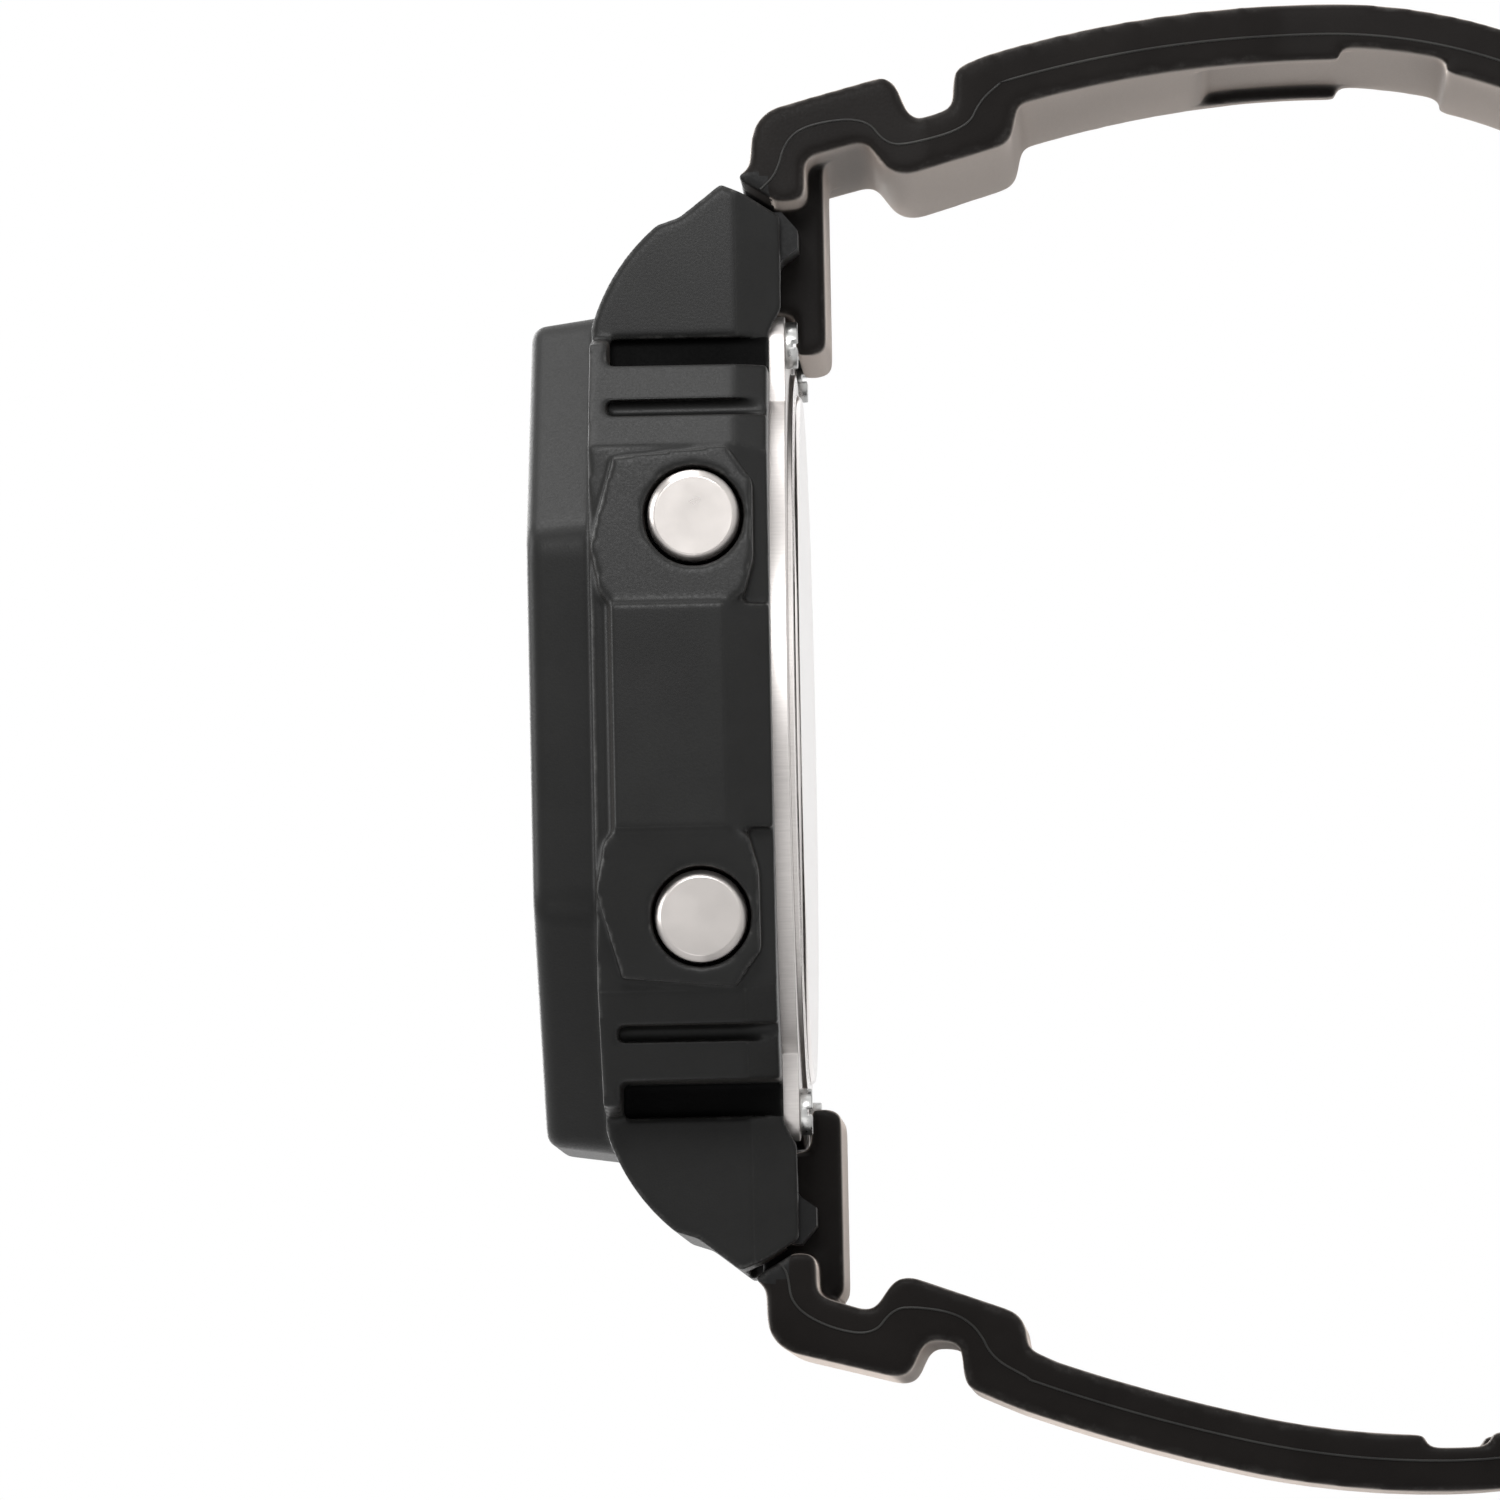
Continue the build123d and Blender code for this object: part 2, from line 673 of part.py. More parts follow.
def strap_outline(side, spans, zigzags, end_points):
    """Closed side view of a strap half with sharp corners, which it gives with their roundings."""
    outer, inner = [[(hinge_y + y, z) for (y, z), rounding in zigzag] for zigzag in zigzags]
    first = spans[0]
    inner_first = first[2] - inner_start_turn
    start = on_span(first, 0, first[2])
    inner_start = on_span(first, strap_thickness, inner_first)
    Polyline(*[(side * y, z) for y, z in outer + [start]])
    for span in spans:
        arc_line(side, span, 0, span[2], span[3])
        begin = inner_first if span is first else span[2]
        arc_line(side, span, strap_thickness, begin, span[3])
    Polyline(*[(side * y, z) for y, z in end_points])
    Polyline(*[(side * y, z) for y, z in [inner_start] + inner + [outer[0]]])
    return list(zip(outer + inner, [rounding for point, rounding in zigzags[0] + zigzags[1]]))


def strap_taper():
    """Front view that narrows a strap half from the lugs to the apex."""
    Polyline(
        (0, bezel_front_z), (strap_half_width, bezel_front_z), (strap_half_width, strap_taper_top_z),
        (strap_narrow_half_width, strap_taper_end_z), (strap_narrow_half_width, strap_bottom_z),
        (0, strap_bottom_z),
    )
    mirror(about=Plane.YZ)


def strap_head(side):
    """Side view of the knuckle, its web and the wing against the case back."""
    with Locations((side * hinge_y, hinge_z)):
        Circle(knuckle_radius)
    web = (
        (hinge_y, hinge_z + knuckle_radius), (wing_root_y - web_lean, hinge_z + bar_radius),
        (wing_root_y, wing_back_z), (hinge_y, wing_back_z),
    )
    Polygon(*[(side * y, z) for y, z in web], align=None)
    inner_web = (
        (hinge_y, wing_back_z), (hinge_y, hinge_z), (web_end_y, web_front_z), (web_end_y, wing_back_z),
    )
    Polygon(*[(side * y, z) for y, z in inner_web], align=None)
    with Locations((side * (wing_root_y + wing_end_y) / 2, (wing_front_z + wing_back_z) / 2)):
        Rectangle(wing_root_y - wing_end_y, wing_front_z - wing_back_z)


def heading_of(span):
    """Unit vectors along the strap and out of it at a span's last angle."""
    angle = radians(span[3])
    return (sin(angle), -cos(angle)), (cos(angle), sin(angle))


# Upper strap half, towards the buckle
upper_spans = strap_spans(upper_start, upper_heading, upper_radii, upper_turns)
upper_along, upper_out = heading_of(upper_spans[-1])
upper_edge = on_span(upper_spans[-1], 0, upper_spans[-1][3])
upper_inner_edge = on_span(upper_spans[-1], strap_thickness, upper_spans[-1][3])
upper_middle = on_span(upper_spans[-1], strap_thickness / 2, upper_spans[-1][3])
bar_shift = (buckle_bar_distance * upper_along[0], buckle_bar_distance * upper_along[1])
buckle_bar_y = upper_middle[0] + bar_shift[0]
buckle_bar_z = upper_middle[1] + bar_shift[1]
upper_end = [
    upper_edge,
    (upper_edge[0] + bar_shift[0], upper_edge[1] + bar_shift[1]),
    (upper_inner_edge[0] + bar_shift[0], upper_inner_edge[1] + bar_shift[1]),
    upper_inner_edge,
]
buckle_plane = Plane(
    origin=(0, buckle_bar_y, buckle_bar_z), x_dir=(0, *upper_along), z_dir=(0, *upper_out)
)


def wrist_band(side, cut):
    """Outline of a band cut into the wrist face, as (span, first angle, last angle)."""
    span, first, last = cut
    sector(side, span, strap_thickness - strap_channel_depth, strap_thickness + overrun / 2, first, last)


upper_apex_span, upper_bend_span = upper_spans[0], upper_spans[1]
upper_inner_reach = upper_apex_span[1] - strap_thickness
upper_channel_rise = degrees(asin((upper_channel_top_z - upper_apex_span[0][1]) / upper_inner_reach))
upper_channels = [(upper_apex_span, upper_channel_rise, 0)]
upper_channels += [(span, span[2], span[3] + channel_end_turn) for span in upper_spans[1:]]
upper_notches = [(upper_bend_span, -first, -last) for first, last in upper_bend_notch_turns]
upper_notches += [(upper_spans[2], -first, -last) for first, last in upper_curl_notch_turns]

with BuildPart() as strap_upper:
    with BuildSketch(Plane.YZ) as upper_side:
        with BuildLine():
            corners = strap_outline(1, upper_spans, (upper_zigzag_outer, upper_zigzag_inner), upper_end)
        make_face()
        for point, rounding in corners:
            fillet(upper_side.vertices().sort_by_distance(point)[0], rounding)
        with Locations((buckle_bar_y, buckle_bar_z)):
            Circle(strap_thickness / 2)
    extrude(amount=strap_half_width, both=True)
    with BuildSketch(Plane.XZ):
        with BuildLine():
            strap_taper()
        make_face()
    extrude(amount=-strap_bottom_z, both=True, mode=Mode.INTERSECT)
    with BuildSketch(Plane.YZ):
        for cut in upper_channels:
            with BuildLine():
                wrist_band(1, cut)
            make_face()
    extrude(amount=strap_channel_half_x, both=True, mode=Mode.SUBTRACT)
    with BuildSketch(Plane.YZ):
        for cut in upper_notches:
            with BuildLine():
                wrist_band(1, cut)
            make_face()
    extrude(amount=strap_half_width, both=True, mode=Mode.SUBTRACT)
    with BuildSketch(Plane.YZ) as upper_head:
        strap_head(1)
        fillet(upper_head.vertices().sort_by_distance((wing_end_y, wing_back_z))[0], wing_tip_round)
    extrude(amount=wing_half_x, both=True)
    with BuildSketch(Plane.YZ):
        with Locations((hinge_y, hinge_z), (buckle_bar_y, buckle_bar_z)):
            Circle(bar_radius + run_gap)
    extrude(amount=strap_half_width, both=True, mode=Mode.SUBTRACT)
    with BuildSketch(buckle_plane.offset(-strap_thickness)):
        with Locations((overrun - prong_slot_length, 0)):
            Rectangle(2 * overrun, 2 * (prong_half_x + prong_slot_gap))
    extrude(amount=2 * strap_thickness, mode=Mode.SUBTRACT)
save(strap_upper.part, "strap_upper")

# Lower strap half, holed, with the flat stretch that the watch stands on
lower_spans = strap_spans(lower_start, lower_heading, lower_radii, lower_turns)
lower_bend_span, lower_floor_span = lower_spans[1], lower_spans[2]
floor_top_z = lower_floor_span[0][1] - lower_floor_span[1] + strap_thickness
lower_end = [
    (lower_floor_span[0][0], floor_top_z - strap_thickness), (-tail_tip_y, floor_top_z - strap_thickness),
    (-tail_tip_y, floor_top_z), (lower_floor_span[0][0], floor_top_z),
]
lower_channels = [(lower_bend_span, lower_channel_rise_turn, 0), (lower_floor_span, 0, -lower_channel_turn)]
lower_notches = [(lower_bend_span, lower_notch_rise_turn, 0)]
lower_notches += [(lower_floor_span, -first, -last) for first, last in lower_notch_turns]

with BuildPart() as strap_lower:
    with BuildSketch(Plane.YZ) as lower_side:
        with BuildLine():
            corners = strap_outline(-1, lower_spans, (lower_zigzag_outer, lower_zigzag_inner), lower_end)
        make_face()
        for point, rounding in corners:
            fillet(lower_side.vertices().sort_by_distance((-point[0], point[1]))[0], rounding)
    extrude(amount=strap_half_width, both=True)
    with BuildSketch(Plane.XZ):
        with BuildLine():
            strap_taper()
        make_face()
    extrude(amount=-strap_bottom_z, both=True, mode=Mode.INTERSECT)
    # Rounded tip of the tail
    with BuildSketch(Plane.XY.offset(strap_bottom_z)) as tip:
        with Locations((0, tail_tip_y - tail_tip_radius / 2)):
            Rectangle(2 * strap_half_width, tail_tip_radius)
        with Locations((0, tail_tip_y - tail_tip_radius)):
            RectangleRounded(
                2 * strap_narrow_half_width, 2 * tail_tip_radius, tail_tip_radius - fit_gap,
                mode=Mode.SUBTRACT,
            )
    extrude(amount=floor_top_z - strap_bottom_z + fit_gap, mode=Mode.SUBTRACT)
    with BuildSketch(Plane.YZ):
        for cut in lower_channels:
            with BuildLine():
                wrist_band(-1, cut)
            make_face()
    extrude(amount=strap_channel_half_x, both=True, mode=Mode.SUBTRACT)
    with BuildSketch(Plane.YZ):
        for cut in lower_notches:
            with BuildLine():
                wrist_band(-1, cut)
            make_face()
    extrude(amount=strap_half_width, both=True, mode=Mode.SUBTRACT)
    # Adjustment holes, along the flat stretch and on round the bend
    for index in range(hole_count):
        distance = tail_tip_y + lower_floor_span[0][0] - hole_tip_distance - index * hole_pitch
        if distance > 0:
            hole_y = -lower_floor_span[0][0] + distance
            hole_plane = Plane(origin=(0, hole_y, floor_top_z), x_dir=(1, 0, 0), z_dir=(0, 0, 1))
        else:
            turn = lower_floor_span[3] - degrees(distance / lower_floor_span[1])
            point = on_span(lower_floor_span, strap_thickness, turn)
            hole_plane = Plane(
                origin=(0, -point[0], point[1]), x_dir=(1, 0, 0),
                z_dir=(0, cos(radians(turn)), -sin(radians(turn))),
            )
        with BuildSketch(hole_plane):
            Circle(hole_radius)
        extrude(amount=strap_thickness + overrun / 2, both=True, mode=Mode.SUBTRACT)
    with BuildSketch(Plane.YZ) as lower_head:
        strap_head(-1)
        fillet(lower_head.vertices().sort_by_distance((-wing_end_y, wing_back_z))[0], wing_tip_round)
    extrude(amount=wing_half_x, both=True)
    with BuildSketch(Plane.YZ):
        with Locations((-hinge_y, hinge_z)):
            Circle(bar_radius + run_gap)
    extrude(amount=strap_half_width, both=True, mode=Mode.SUBTRACT)
save(strap_lower.part, "strap_lower")


def spring_bar(place, half_length, tip_length):
    """Sprung bar along X: a tube with a thinner tip at each end."""
    with BuildPart() as bar:
        for radius, length in ((bar_radius, half_length), (bar_tip_radius, half_length + tip_length)):
            with BuildSketch(Plane.YZ):
                with Locations(place):
                    Circle(radius)
            extrude(amount=length, both=True)
    return bar.part


save(spring_bar((hinge_y, hinge_z), bar_half_length, bar_tip_length), "spring_bar_upper")
save(spring_bar((-hinge_y, hinge_z), bar_half_length, bar_tip_length), "spring_bar_lower")

# Buckle, in the plane of the strap's end
frame_inner_x = strap_narrow_half_width + buckle_side_gap
buckle_frame_half_x = frame_inner_x + buckle_rim
buckle_bar_half = strap_narrow_half_width

save(spring_bar((buckle_bar_y, buckle_bar_z), buckle_bar_half, buckle_tip_length), "buckle_bar")

with BuildPart() as buckle_frame:
    with BuildSketch(buckle_plane.offset(-buckle_thickness / 2)):
        with Locations(((buckle_length - buckle_back) / 2, 0)):
            RectangleRounded(buckle_length + buckle_back, 2 * buckle_frame_half_x, buckle_corner_radius)
        with Locations(((buckle_length - buckle_front) / 2 - overrun, 0)):
            Rectangle(buckle_length - buckle_front + 2 * overrun, 2 * frame_inner_x, mode=Mode.SUBTRACT)
    extrude(amount=buckle_thickness)
    rims = buckle_frame.faces().filter_by(Axis((0, 0, 0), buckle_plane.z_dir))
    chamfer(rims.edges(), buckle_bevel)
    with BuildSketch(Plane.YZ):
        with Locations((buckle_bar_y, buckle_bar_z)):
            Circle(bar_tip_radius + pin_gap)
    extrude(amount=buckle_bar_half + buckle_tip_length + fit_gap, both=True, mode=Mode.SUBTRACT)
save(buckle_frame.part, "buckle_frame")

prong_side = Plane(origin=(0, buckle_bar_y, buckle_bar_z), x_dir=(0, *upper_along), z_dir=(1, 0, 0))
prong_seat = buckle_thickness / 2 + prong_rest_gap
prong_reach = buckle_length + prong_tip
with BuildPart() as buckle_prong:
    with BuildSketch(prong_side):
        Circle(prong_knuckle_radius)
        Polygon(
            (0, -prong_thickness / 2), (buckle_length - buckle_front - prong_tip, prong_seat),
            (prong_reach, prong_seat), (prong_reach, prong_seat + prong_tip),
            (buckle_length - buckle_front - prong_tip, prong_seat + prong_thickness),
            (0, prong_knuckle_radius), align=None,
        )
        Circle(bar_radius + run_gap, mode=Mode.SUBTRACT)
    extrude(amount=prong_half_x, both=True)
save(buckle_prong.part, "buckle_prong")

# Keeper loop, bent to the curve that it slides along
keeper_span = upper_spans[2]
keeper_first = -(keeper_place_degrees - keeper_arc_degrees / 2)
keeper_last = -(keeper_place_degrees + keeper_arc_degrees / 2)
keeper_inner = strap_thickness + keeper_gap
cut_first = keeper_first + keeper_cut_turn
cut_last = keeper_last - keeper_cut_turn
with BuildPart() as keeper:
    with BuildSketch(Plane.YZ):
        with BuildLine():
            sector(
                1, keeper_span, -keeper_room - keeper_wall, keeper_inner + keeper_wall,
                keeper_first, keeper_last,
            )
        make_face()
    extrude(amount=strap_narrow_half_width + keeper_gap + keeper_wall, both=True)
    with BuildSketch(Plane.YZ):
        with BuildLine():
            sector(1, keeper_span, -keeper_room, keeper_inner, cut_first, cut_last)
        make_face()
    extrude(amount=strap_narrow_half_width + keeper_gap, both=True, mode=Mode.SUBTRACT)
save(keeper.part, "keeper")


def ring(inner, outer, back, front):
    """Flat ring round the dial's axis."""
    with BuildPart() as part:
        with BuildSketch(Plane.XY.offset(back)):
            Circle(outer)
            Circle(inner, mode=Mode.SUBTRACT)
        extrude(amount=front - back)
    return part.part


# Crystal and its gasket
with BuildPart() as crystal:
    with BuildSketch(Plane.XY.offset(crystal_back_z)):
        Circle(crystal_radius)
    extrude(amount=crystal_front_z - crystal_back_z)
    chamfer(crystal.faces().sort_by(Axis.Z)[-1].edges(), crystal_bevel)
save(crystal.part, "crystal")
save(ring(crystal_radius, crystal_pocket_radius, crystal_back_z, gasket_front_z), "crystal_gasket")

# Dial with its window and sunk sub-dial
with BuildPart() as dial_plate:
    with BuildSketch(Plane.XY.offset(dial_back_z)):
        Circle(dial_radius)
        Circle(hour_pipe_radius + run_gap, mode=Mode.SUBTRACT)
        with Locations(lcd_centre):
            RectangleRounded(*lcd_window, lcd_corner_radius, mode=Mode.SUBTRACT)
        with Locations((sub_x, 0)):
            Circle(cannon_radius + run_gap, mode=Mode.SUBTRACT)
    extrude(amount=dial_front_z - dial_back_z)
    with BuildSketch(Plane.XY.offset(dial_front_z)):
        with Locations((sub_x, 0)):
            Circle(sub_radius)
    extrude(amount=-sub_floor_depth, mode=Mode.SUBTRACT)
save(dial_plate.part, "dial_plate")

with BuildPart() as dial_ring:
    with BuildSketch(Plane.XZ):
        with BuildLine():
            Polyline(
                (dial_ring_inner_radius, dial_front_z), (dial_ring_outer_radius, dial_front_z),
                (dial_ring_outer_radius, dial_ring_front_z), (dial_ring_slope_radius, dial_ring_front_z),
                (dial_ring_inner_radius, dial_ring_step_z), (dial_ring_inner_radius, dial_front_z),
            )
        make_face()
    revolve(axis=Axis.Z)
save(dial_ring.part, "dial_ring")

with BuildPart() as hour_markers:
    with BuildSketch(Plane.XY.offset(dial_front_z)):
        with PolarLocations((marker_inner_radius + marker_outer_radius) / 2, marker_count):
            Rectangle(marker_outer_radius - marker_inner_radius, marker_width)
        with Locations((sub_x, 0)):
            Circle(sub_radius + sub_ring_width + fit_gap, mode=Mode.SUBTRACT)
        with Locations(lcd_centre):
            Rectangle(
                lcd_window[0] + 2 * lcd_frame_width + fit_gap, lcd_window[1] + 2 * lcd_frame_width + fit_gap,
                mode=Mode.SUBTRACT,
            )
    extrude(amount=marker_height)
save(hour_markers.part, "hour_markers")

with BuildPart() as sub_dial_ring:
    with BuildSketch(Plane.XY.offset(dial_front_z)):
        with Locations((sub_x, 0)):
            Circle(sub_radius + sub_ring_width)
            Circle(sub_radius, mode=Mode.SUBTRACT)
    extrude(amount=sub_ring_height)
save(sub_dial_ring.part, "sub_dial_ring")

with BuildPart() as lcd_frame:
    with BuildSketch(Plane.XY.offset(dial_front_z)):
        with Locations(lcd_centre):
            RectangleRounded(
                lcd_window[0] + 2 * lcd_frame_width, lcd_window[1] + 2 * lcd_frame_width,
                lcd_corner_radius + lcd_frame_width,
            )
            RectangleRounded(*lcd_window, lcd_corner_radius, mode=Mode.SUBTRACT)
    extrude(amount=lcd_frame_height)
save(lcd_frame.part, "lcd_frame")

with BuildPart() as lcd_display:
    with BuildSketch(Plane.XY.offset(dial_back_z)):
        with Locations(lcd_centre):
            Rectangle(lcd_window[0] + 2 * lcd_border, lcd_window[1] + 2 * lcd_border)
    extrude(amount=-lcd_thickness)
save(lcd_display.part, "lcd_display")


def gear_points(teeth, module, turn):
    """Outline of a small wheel with straight-sided teeth."""
    pitch_radius = module * teeth / 2
    root = pitch_radius - tooth_root_share * module
    tip = pitch_radius + tooth_height_share * module
    step = 2 * pi / teeth
    points = []
    for tooth in range(teeth):
        centre = radians(turn) + tooth * step
        for radius, offset_share in (
            (root, -tooth_base_share / 2), (tip, -tooth_top_share / 2),
            (tip, tooth_top_share / 2), (root, tooth_base_share / 2),
        ):
            angle = centre + offset_share * step
            points.append((radius * cos(angle), radius * sin(angle)))
    return points


# Gear train behind the dial: minute pipe, reduction wheel and hour pipe
cannon_module = 2 * gear_centre_distance / (cannon_teeth + minute_wheel_teeth)
hour_module = 2 * gear_centre_distance / (pinion_teeth + hour_wheel_teeth)

with BuildPart() as cannon_pinion:
    with BuildSketch(Plane.XY.offset(cannon_gear_z)):
        Polygon(*gear_points(cannon_teeth, cannon_module, 0), align=None)
    extrude(amount=gear_thickness)
    with BuildSketch(Plane.XY.offset(cannon_gear_z)):
        Circle(cannon_radius)
    extrude(amount=cannon_top_z - cannon_gear_z)
    with BuildSketch(Plane.XY.offset(cannon_gear_z)):
        Circle(post_radius + pin_gap)
    extrude(amount=cannon_top_z - cannon_gear_z - fit_gap, mode=Mode.SUBTRACT)
save(cannon_pinion.part, "cannon_pinion")

with BuildPart() as minute_wheel:
    with BuildSketch(Plane.XY.offset(cannon_gear_z)):
        with Locations((0, gear_centre_distance)):
            Polygon(*gear_points(minute_wheel_teeth, cannon_module, 180 / minute_wheel_teeth), align=None)
    extrude(amount=gear_thickness)
    with BuildSketch(Plane.XY.offset(cannon_gear_z)):
        with Locations((0, gear_centre_distance)):
            Polygon(*gear_points(pinion_teeth, hour_module, 0), align=None)
    extrude(amount=hour_gear_z + gear_thickness - cannon_gear_z)
    with BuildSketch(Plane.XY):
        with Locations((0, gear_centre_distance)):
            Circle(post_radius + pin_gap)
    extrude(amount=dial_back_z, mode=Mode.SUBTRACT)
save(minute_wheel.part, "minute_wheel")

with BuildPart() as hour_wheel:
    with BuildSketch(Plane.XY.offset(hour_gear_z)):
        Polygon(*gear_points(hour_wheel_teeth, hour_module, 0), align=None)
    extrude(amount=gear_thickness)
    with BuildSketch(Plane.XY.offset(hour_gear_z)):
        Circle(hour_pipe_radius)
    extrude(amount=hour_pipe_top_z - hour_gear_z)
    with BuildSketch(Plane.XY):
        Circle(cannon_radius + run_gap)
    extrude(amount=hour_pipe_top_z, mode=Mode.SUBTRACT)
save(hour_wheel.part, "hour_wheel")

with BuildPart() as sub_wheel:
    with BuildSketch(Plane.XY.offset(cannon_gear_z)):
        with Locations((sub_x, 0)):
            Polygon(*gear_points(sub_wheel_teeth, sub_wheel_module, 0), align=None)
    extrude(amount=gear_thickness)
    with BuildSketch(Plane.XY.offset(cannon_gear_z)):
        with Locations((sub_x, 0)):
            Circle(cannon_radius)
    extrude(amount=sub_pipe_top_z - cannon_gear_z)
    with BuildSketch(Plane.XY.offset(cannon_gear_z)):
        with Locations((sub_x, 0)):
            Circle(post_radius + pin_gap)
    extrude(amount=sub_pipe_top_z - cannon_gear_z - fit_gap, mode=Mode.SUBTRACT)
save(sub_wheel.part, "sub_wheel")

with BuildPart() as wheel_posts:
    for place, top in (
        ((0, 0), cannon_top_z), ((0, gear_centre_distance), dial_back_z), ((sub_x, 0), sub_pipe_top_z)
    ):
        with BuildSketch(Plane.XY.offset(board_front_z)):
            with Locations(place):
                Circle(post_radius)
        extrude(amount=top - board_front_z - post_end_gap)
save(wheel_posts.part, "wheel_posts")


def hand(place, turn, back, thickness, length, tail, width, hub, bore):
    """Flat lance-shaped hand with a round hub, turned clockwise from 12 o'clock."""
    outline = (
        (-width / 2, -tail), (width / 2, -tail), (width / 2, length - width), (0, length),
        (-width / 2, length - width),
    )
    with BuildPart() as part:
        with BuildSketch(Plane.XY.offset(back)):
            with Locations(Location((*place, 0), (0, 0, -turn))):
                Polygon(*outline, align=None)
                Circle(hub)
                Circle(bore, mode=Mode.SUBTRACT)
        extrude(amount=thickness)
    return part.part


save(
    hand(
        (0, 0), hour_hand_angle, hour_hand_z, hand_thickness, hour_hand_length, hand_tail, hand_width,
        hand_hub_radius, hour_pipe_radius,
    ),
    "hour_hand",
)
save(
    hand(
        (0, 0), minute_hand_angle, minute_hand_z, hand_thickness, minute_hand_length, hand_tail, hand_width,
        hand_hub_radius, cannon_radius,
    ),
    "minute_hand",
)
save(
    hand(
        (sub_x, 0), sub_hand_angle, sub_hand_z, sub_hand_thickness, sub_hand_length, sub_hub_radius,
        sub_hand_width, sub_hub_radius + fit_gap, cannon_radius,
    ),
    "sub_hand",
)

# Movement: rear frame with the cells, circuit board and front plate with the wheels
with BuildPart() as module_frame:
    with BuildSketch(Plane.XY.offset(frame_back_z)):
        Circle(frame_radius)
        with Locations(*cell_centres):
            Circle(cell_radius + cell_gap, mode=Mode.SUBTRACT)
    extrude(amount=board_back_z - frame_back_z)
    for side_x, side_y in button_places.values():
        with BuildSketch(Plane.XY.offset(frame_back_z)):
            with Locations((side_x * (stem_room_x + overrun), side_y * button_y)):
                Rectangle(2 * overrun, 2 * stem_room_half_y)
        extrude(amount=board_back_z - frame_back_z, mode=Mode.SUBTRACT)
save(module_frame.part, "module_frame")

with BuildPart() as circuit_board:
    with BuildSketch(Plane.XY.offset(board_back_z)):
        Circle(board_radius)
    extrude(amount=board_front_z - board_back_z)
save(circuit_board.part, "circuit_board")

with BuildPart() as movement_plate:
    with BuildSketch(Plane.XY.offset(board_front_z)):
        Circle(frame_radius)
        for side_x, side_y in button_places.values():
            with Locations((side_x * (stem_room_x + overrun), side_y * button_y)):
                Rectangle(2 * overrun, 2 * stem_room_half_y, mode=Mode.SUBTRACT)
    extrude(amount=dial_back_z - board_front_z)
    with BuildSketch(Plane.XY.offset(board_front_z)):
        for place, teeth, module in (
            ((0, 0), hour_wheel_teeth, hour_module),
            ((0, gear_centre_distance), minute_wheel_teeth, cannon_module),
            ((sub_x, 0), sub_wheel_teeth, sub_wheel_module),
        ):
            with Locations(place):
                Circle((teeth / 2 + tooth_height_share) * module + wheel_room_gap)
        for (x, y), turn in zip(coil_places, coil_turns):
            with Locations(Location((x, y, 0), (0, 0, turn))):
                Rectangle(coil_core_length + 2 * fit_gap, 2 * coil_radius + 2 * fit_gap)
    extrude(amount=dial_back_z - board_front_z, mode=Mode.SUBTRACT)
    with BuildSketch(Plane.XY.offset(dial_back_z)):
        with Locations(lcd_centre):
            lcd_room = 2 * lcd_border + 2 * fit_gap
            Rectangle(lcd_window[0] + lcd_room, lcd_window[1] + lcd_room)
    extrude(amount=-lcd_thickness - fit_gap, mode=Mode.SUBTRACT)
save(movement_plate.part, "movement_plate")

with BuildPart() as stepper_coils:
    for (x, y), turn in zip(coil_places, coil_turns):
        coil_plane = Plane(Location((x, y, board_front_z + coil_radius + fit_gap), (0, 0, turn))) * Plane.YZ
        with BuildSketch(coil_plane):
            Circle(coil_radius)
        extrude(amount=coil_length / 2, both=True)
        with BuildSketch(coil_plane):
            Rectangle(2 * coil_core_half, 2 * coil_core_half)
        extrude(amount=coil_core_length / 2, both=True)
save(stepper_coils.part, "stepper_coils")

with BuildPart() as battery_cells:
    with BuildSketch(Plane.XY.offset(frame_back_z + fit_gap)):
        with Locations(*cell_centres):
            Circle(cell_radius)
    extrude(amount=cell_height)
    chamfer(battery_cells.faces().sort_by(Axis.Z)[0].edges(), cell_gap)
save(battery_cells.part, "battery_cells")

with BuildPart() as battery_clip:
    with BuildSketch(Plane.XY.offset(frame_back_z)):
        with Locations((0, cell_centres[0][1])):
            Rectangle(clip_length, clip_width)
    extrude(amount=-clip_thickness)
save(battery_clip.part, "battery_clip")

with BuildPart() as piezo_disc:
    with BuildSketch(Plane.XY.offset(case_back_z)):
        with Locations((0, piezo_y)):
            Circle(piezo_radius)
    extrude(amount=piezo_thickness)
save(piezo_disc.part, "piezo_disc")

# Buttons: cap and stem, seal, retaining clip and return spring in a steel sleeve
cap_back_x = button_face_x - button_cap_length
spring_end_x = cap_back_x + button_bore_depth
spring_start_x = button_boss_end_x + spring_wire_radius + run_gap
spring_length = spring_end_x - spring_wire_radius - run_gap - spring_start_x

with BuildPart() as button_sleeves:
    for side_x, side_y in button_places.values():
        with BuildSketch(button_plane(side_x, button_boss_start_x)):
            with Locations((side_y * button_y, side_x * button_z)):
                Circle(sleeve_radius)
                Circle(sleeve_bore_radius, mode=Mode.SUBTRACT)
        extrude(amount=button_boss_end_x - button_boss_start_x)
save(button_sleeves.part, "button_sleeves")

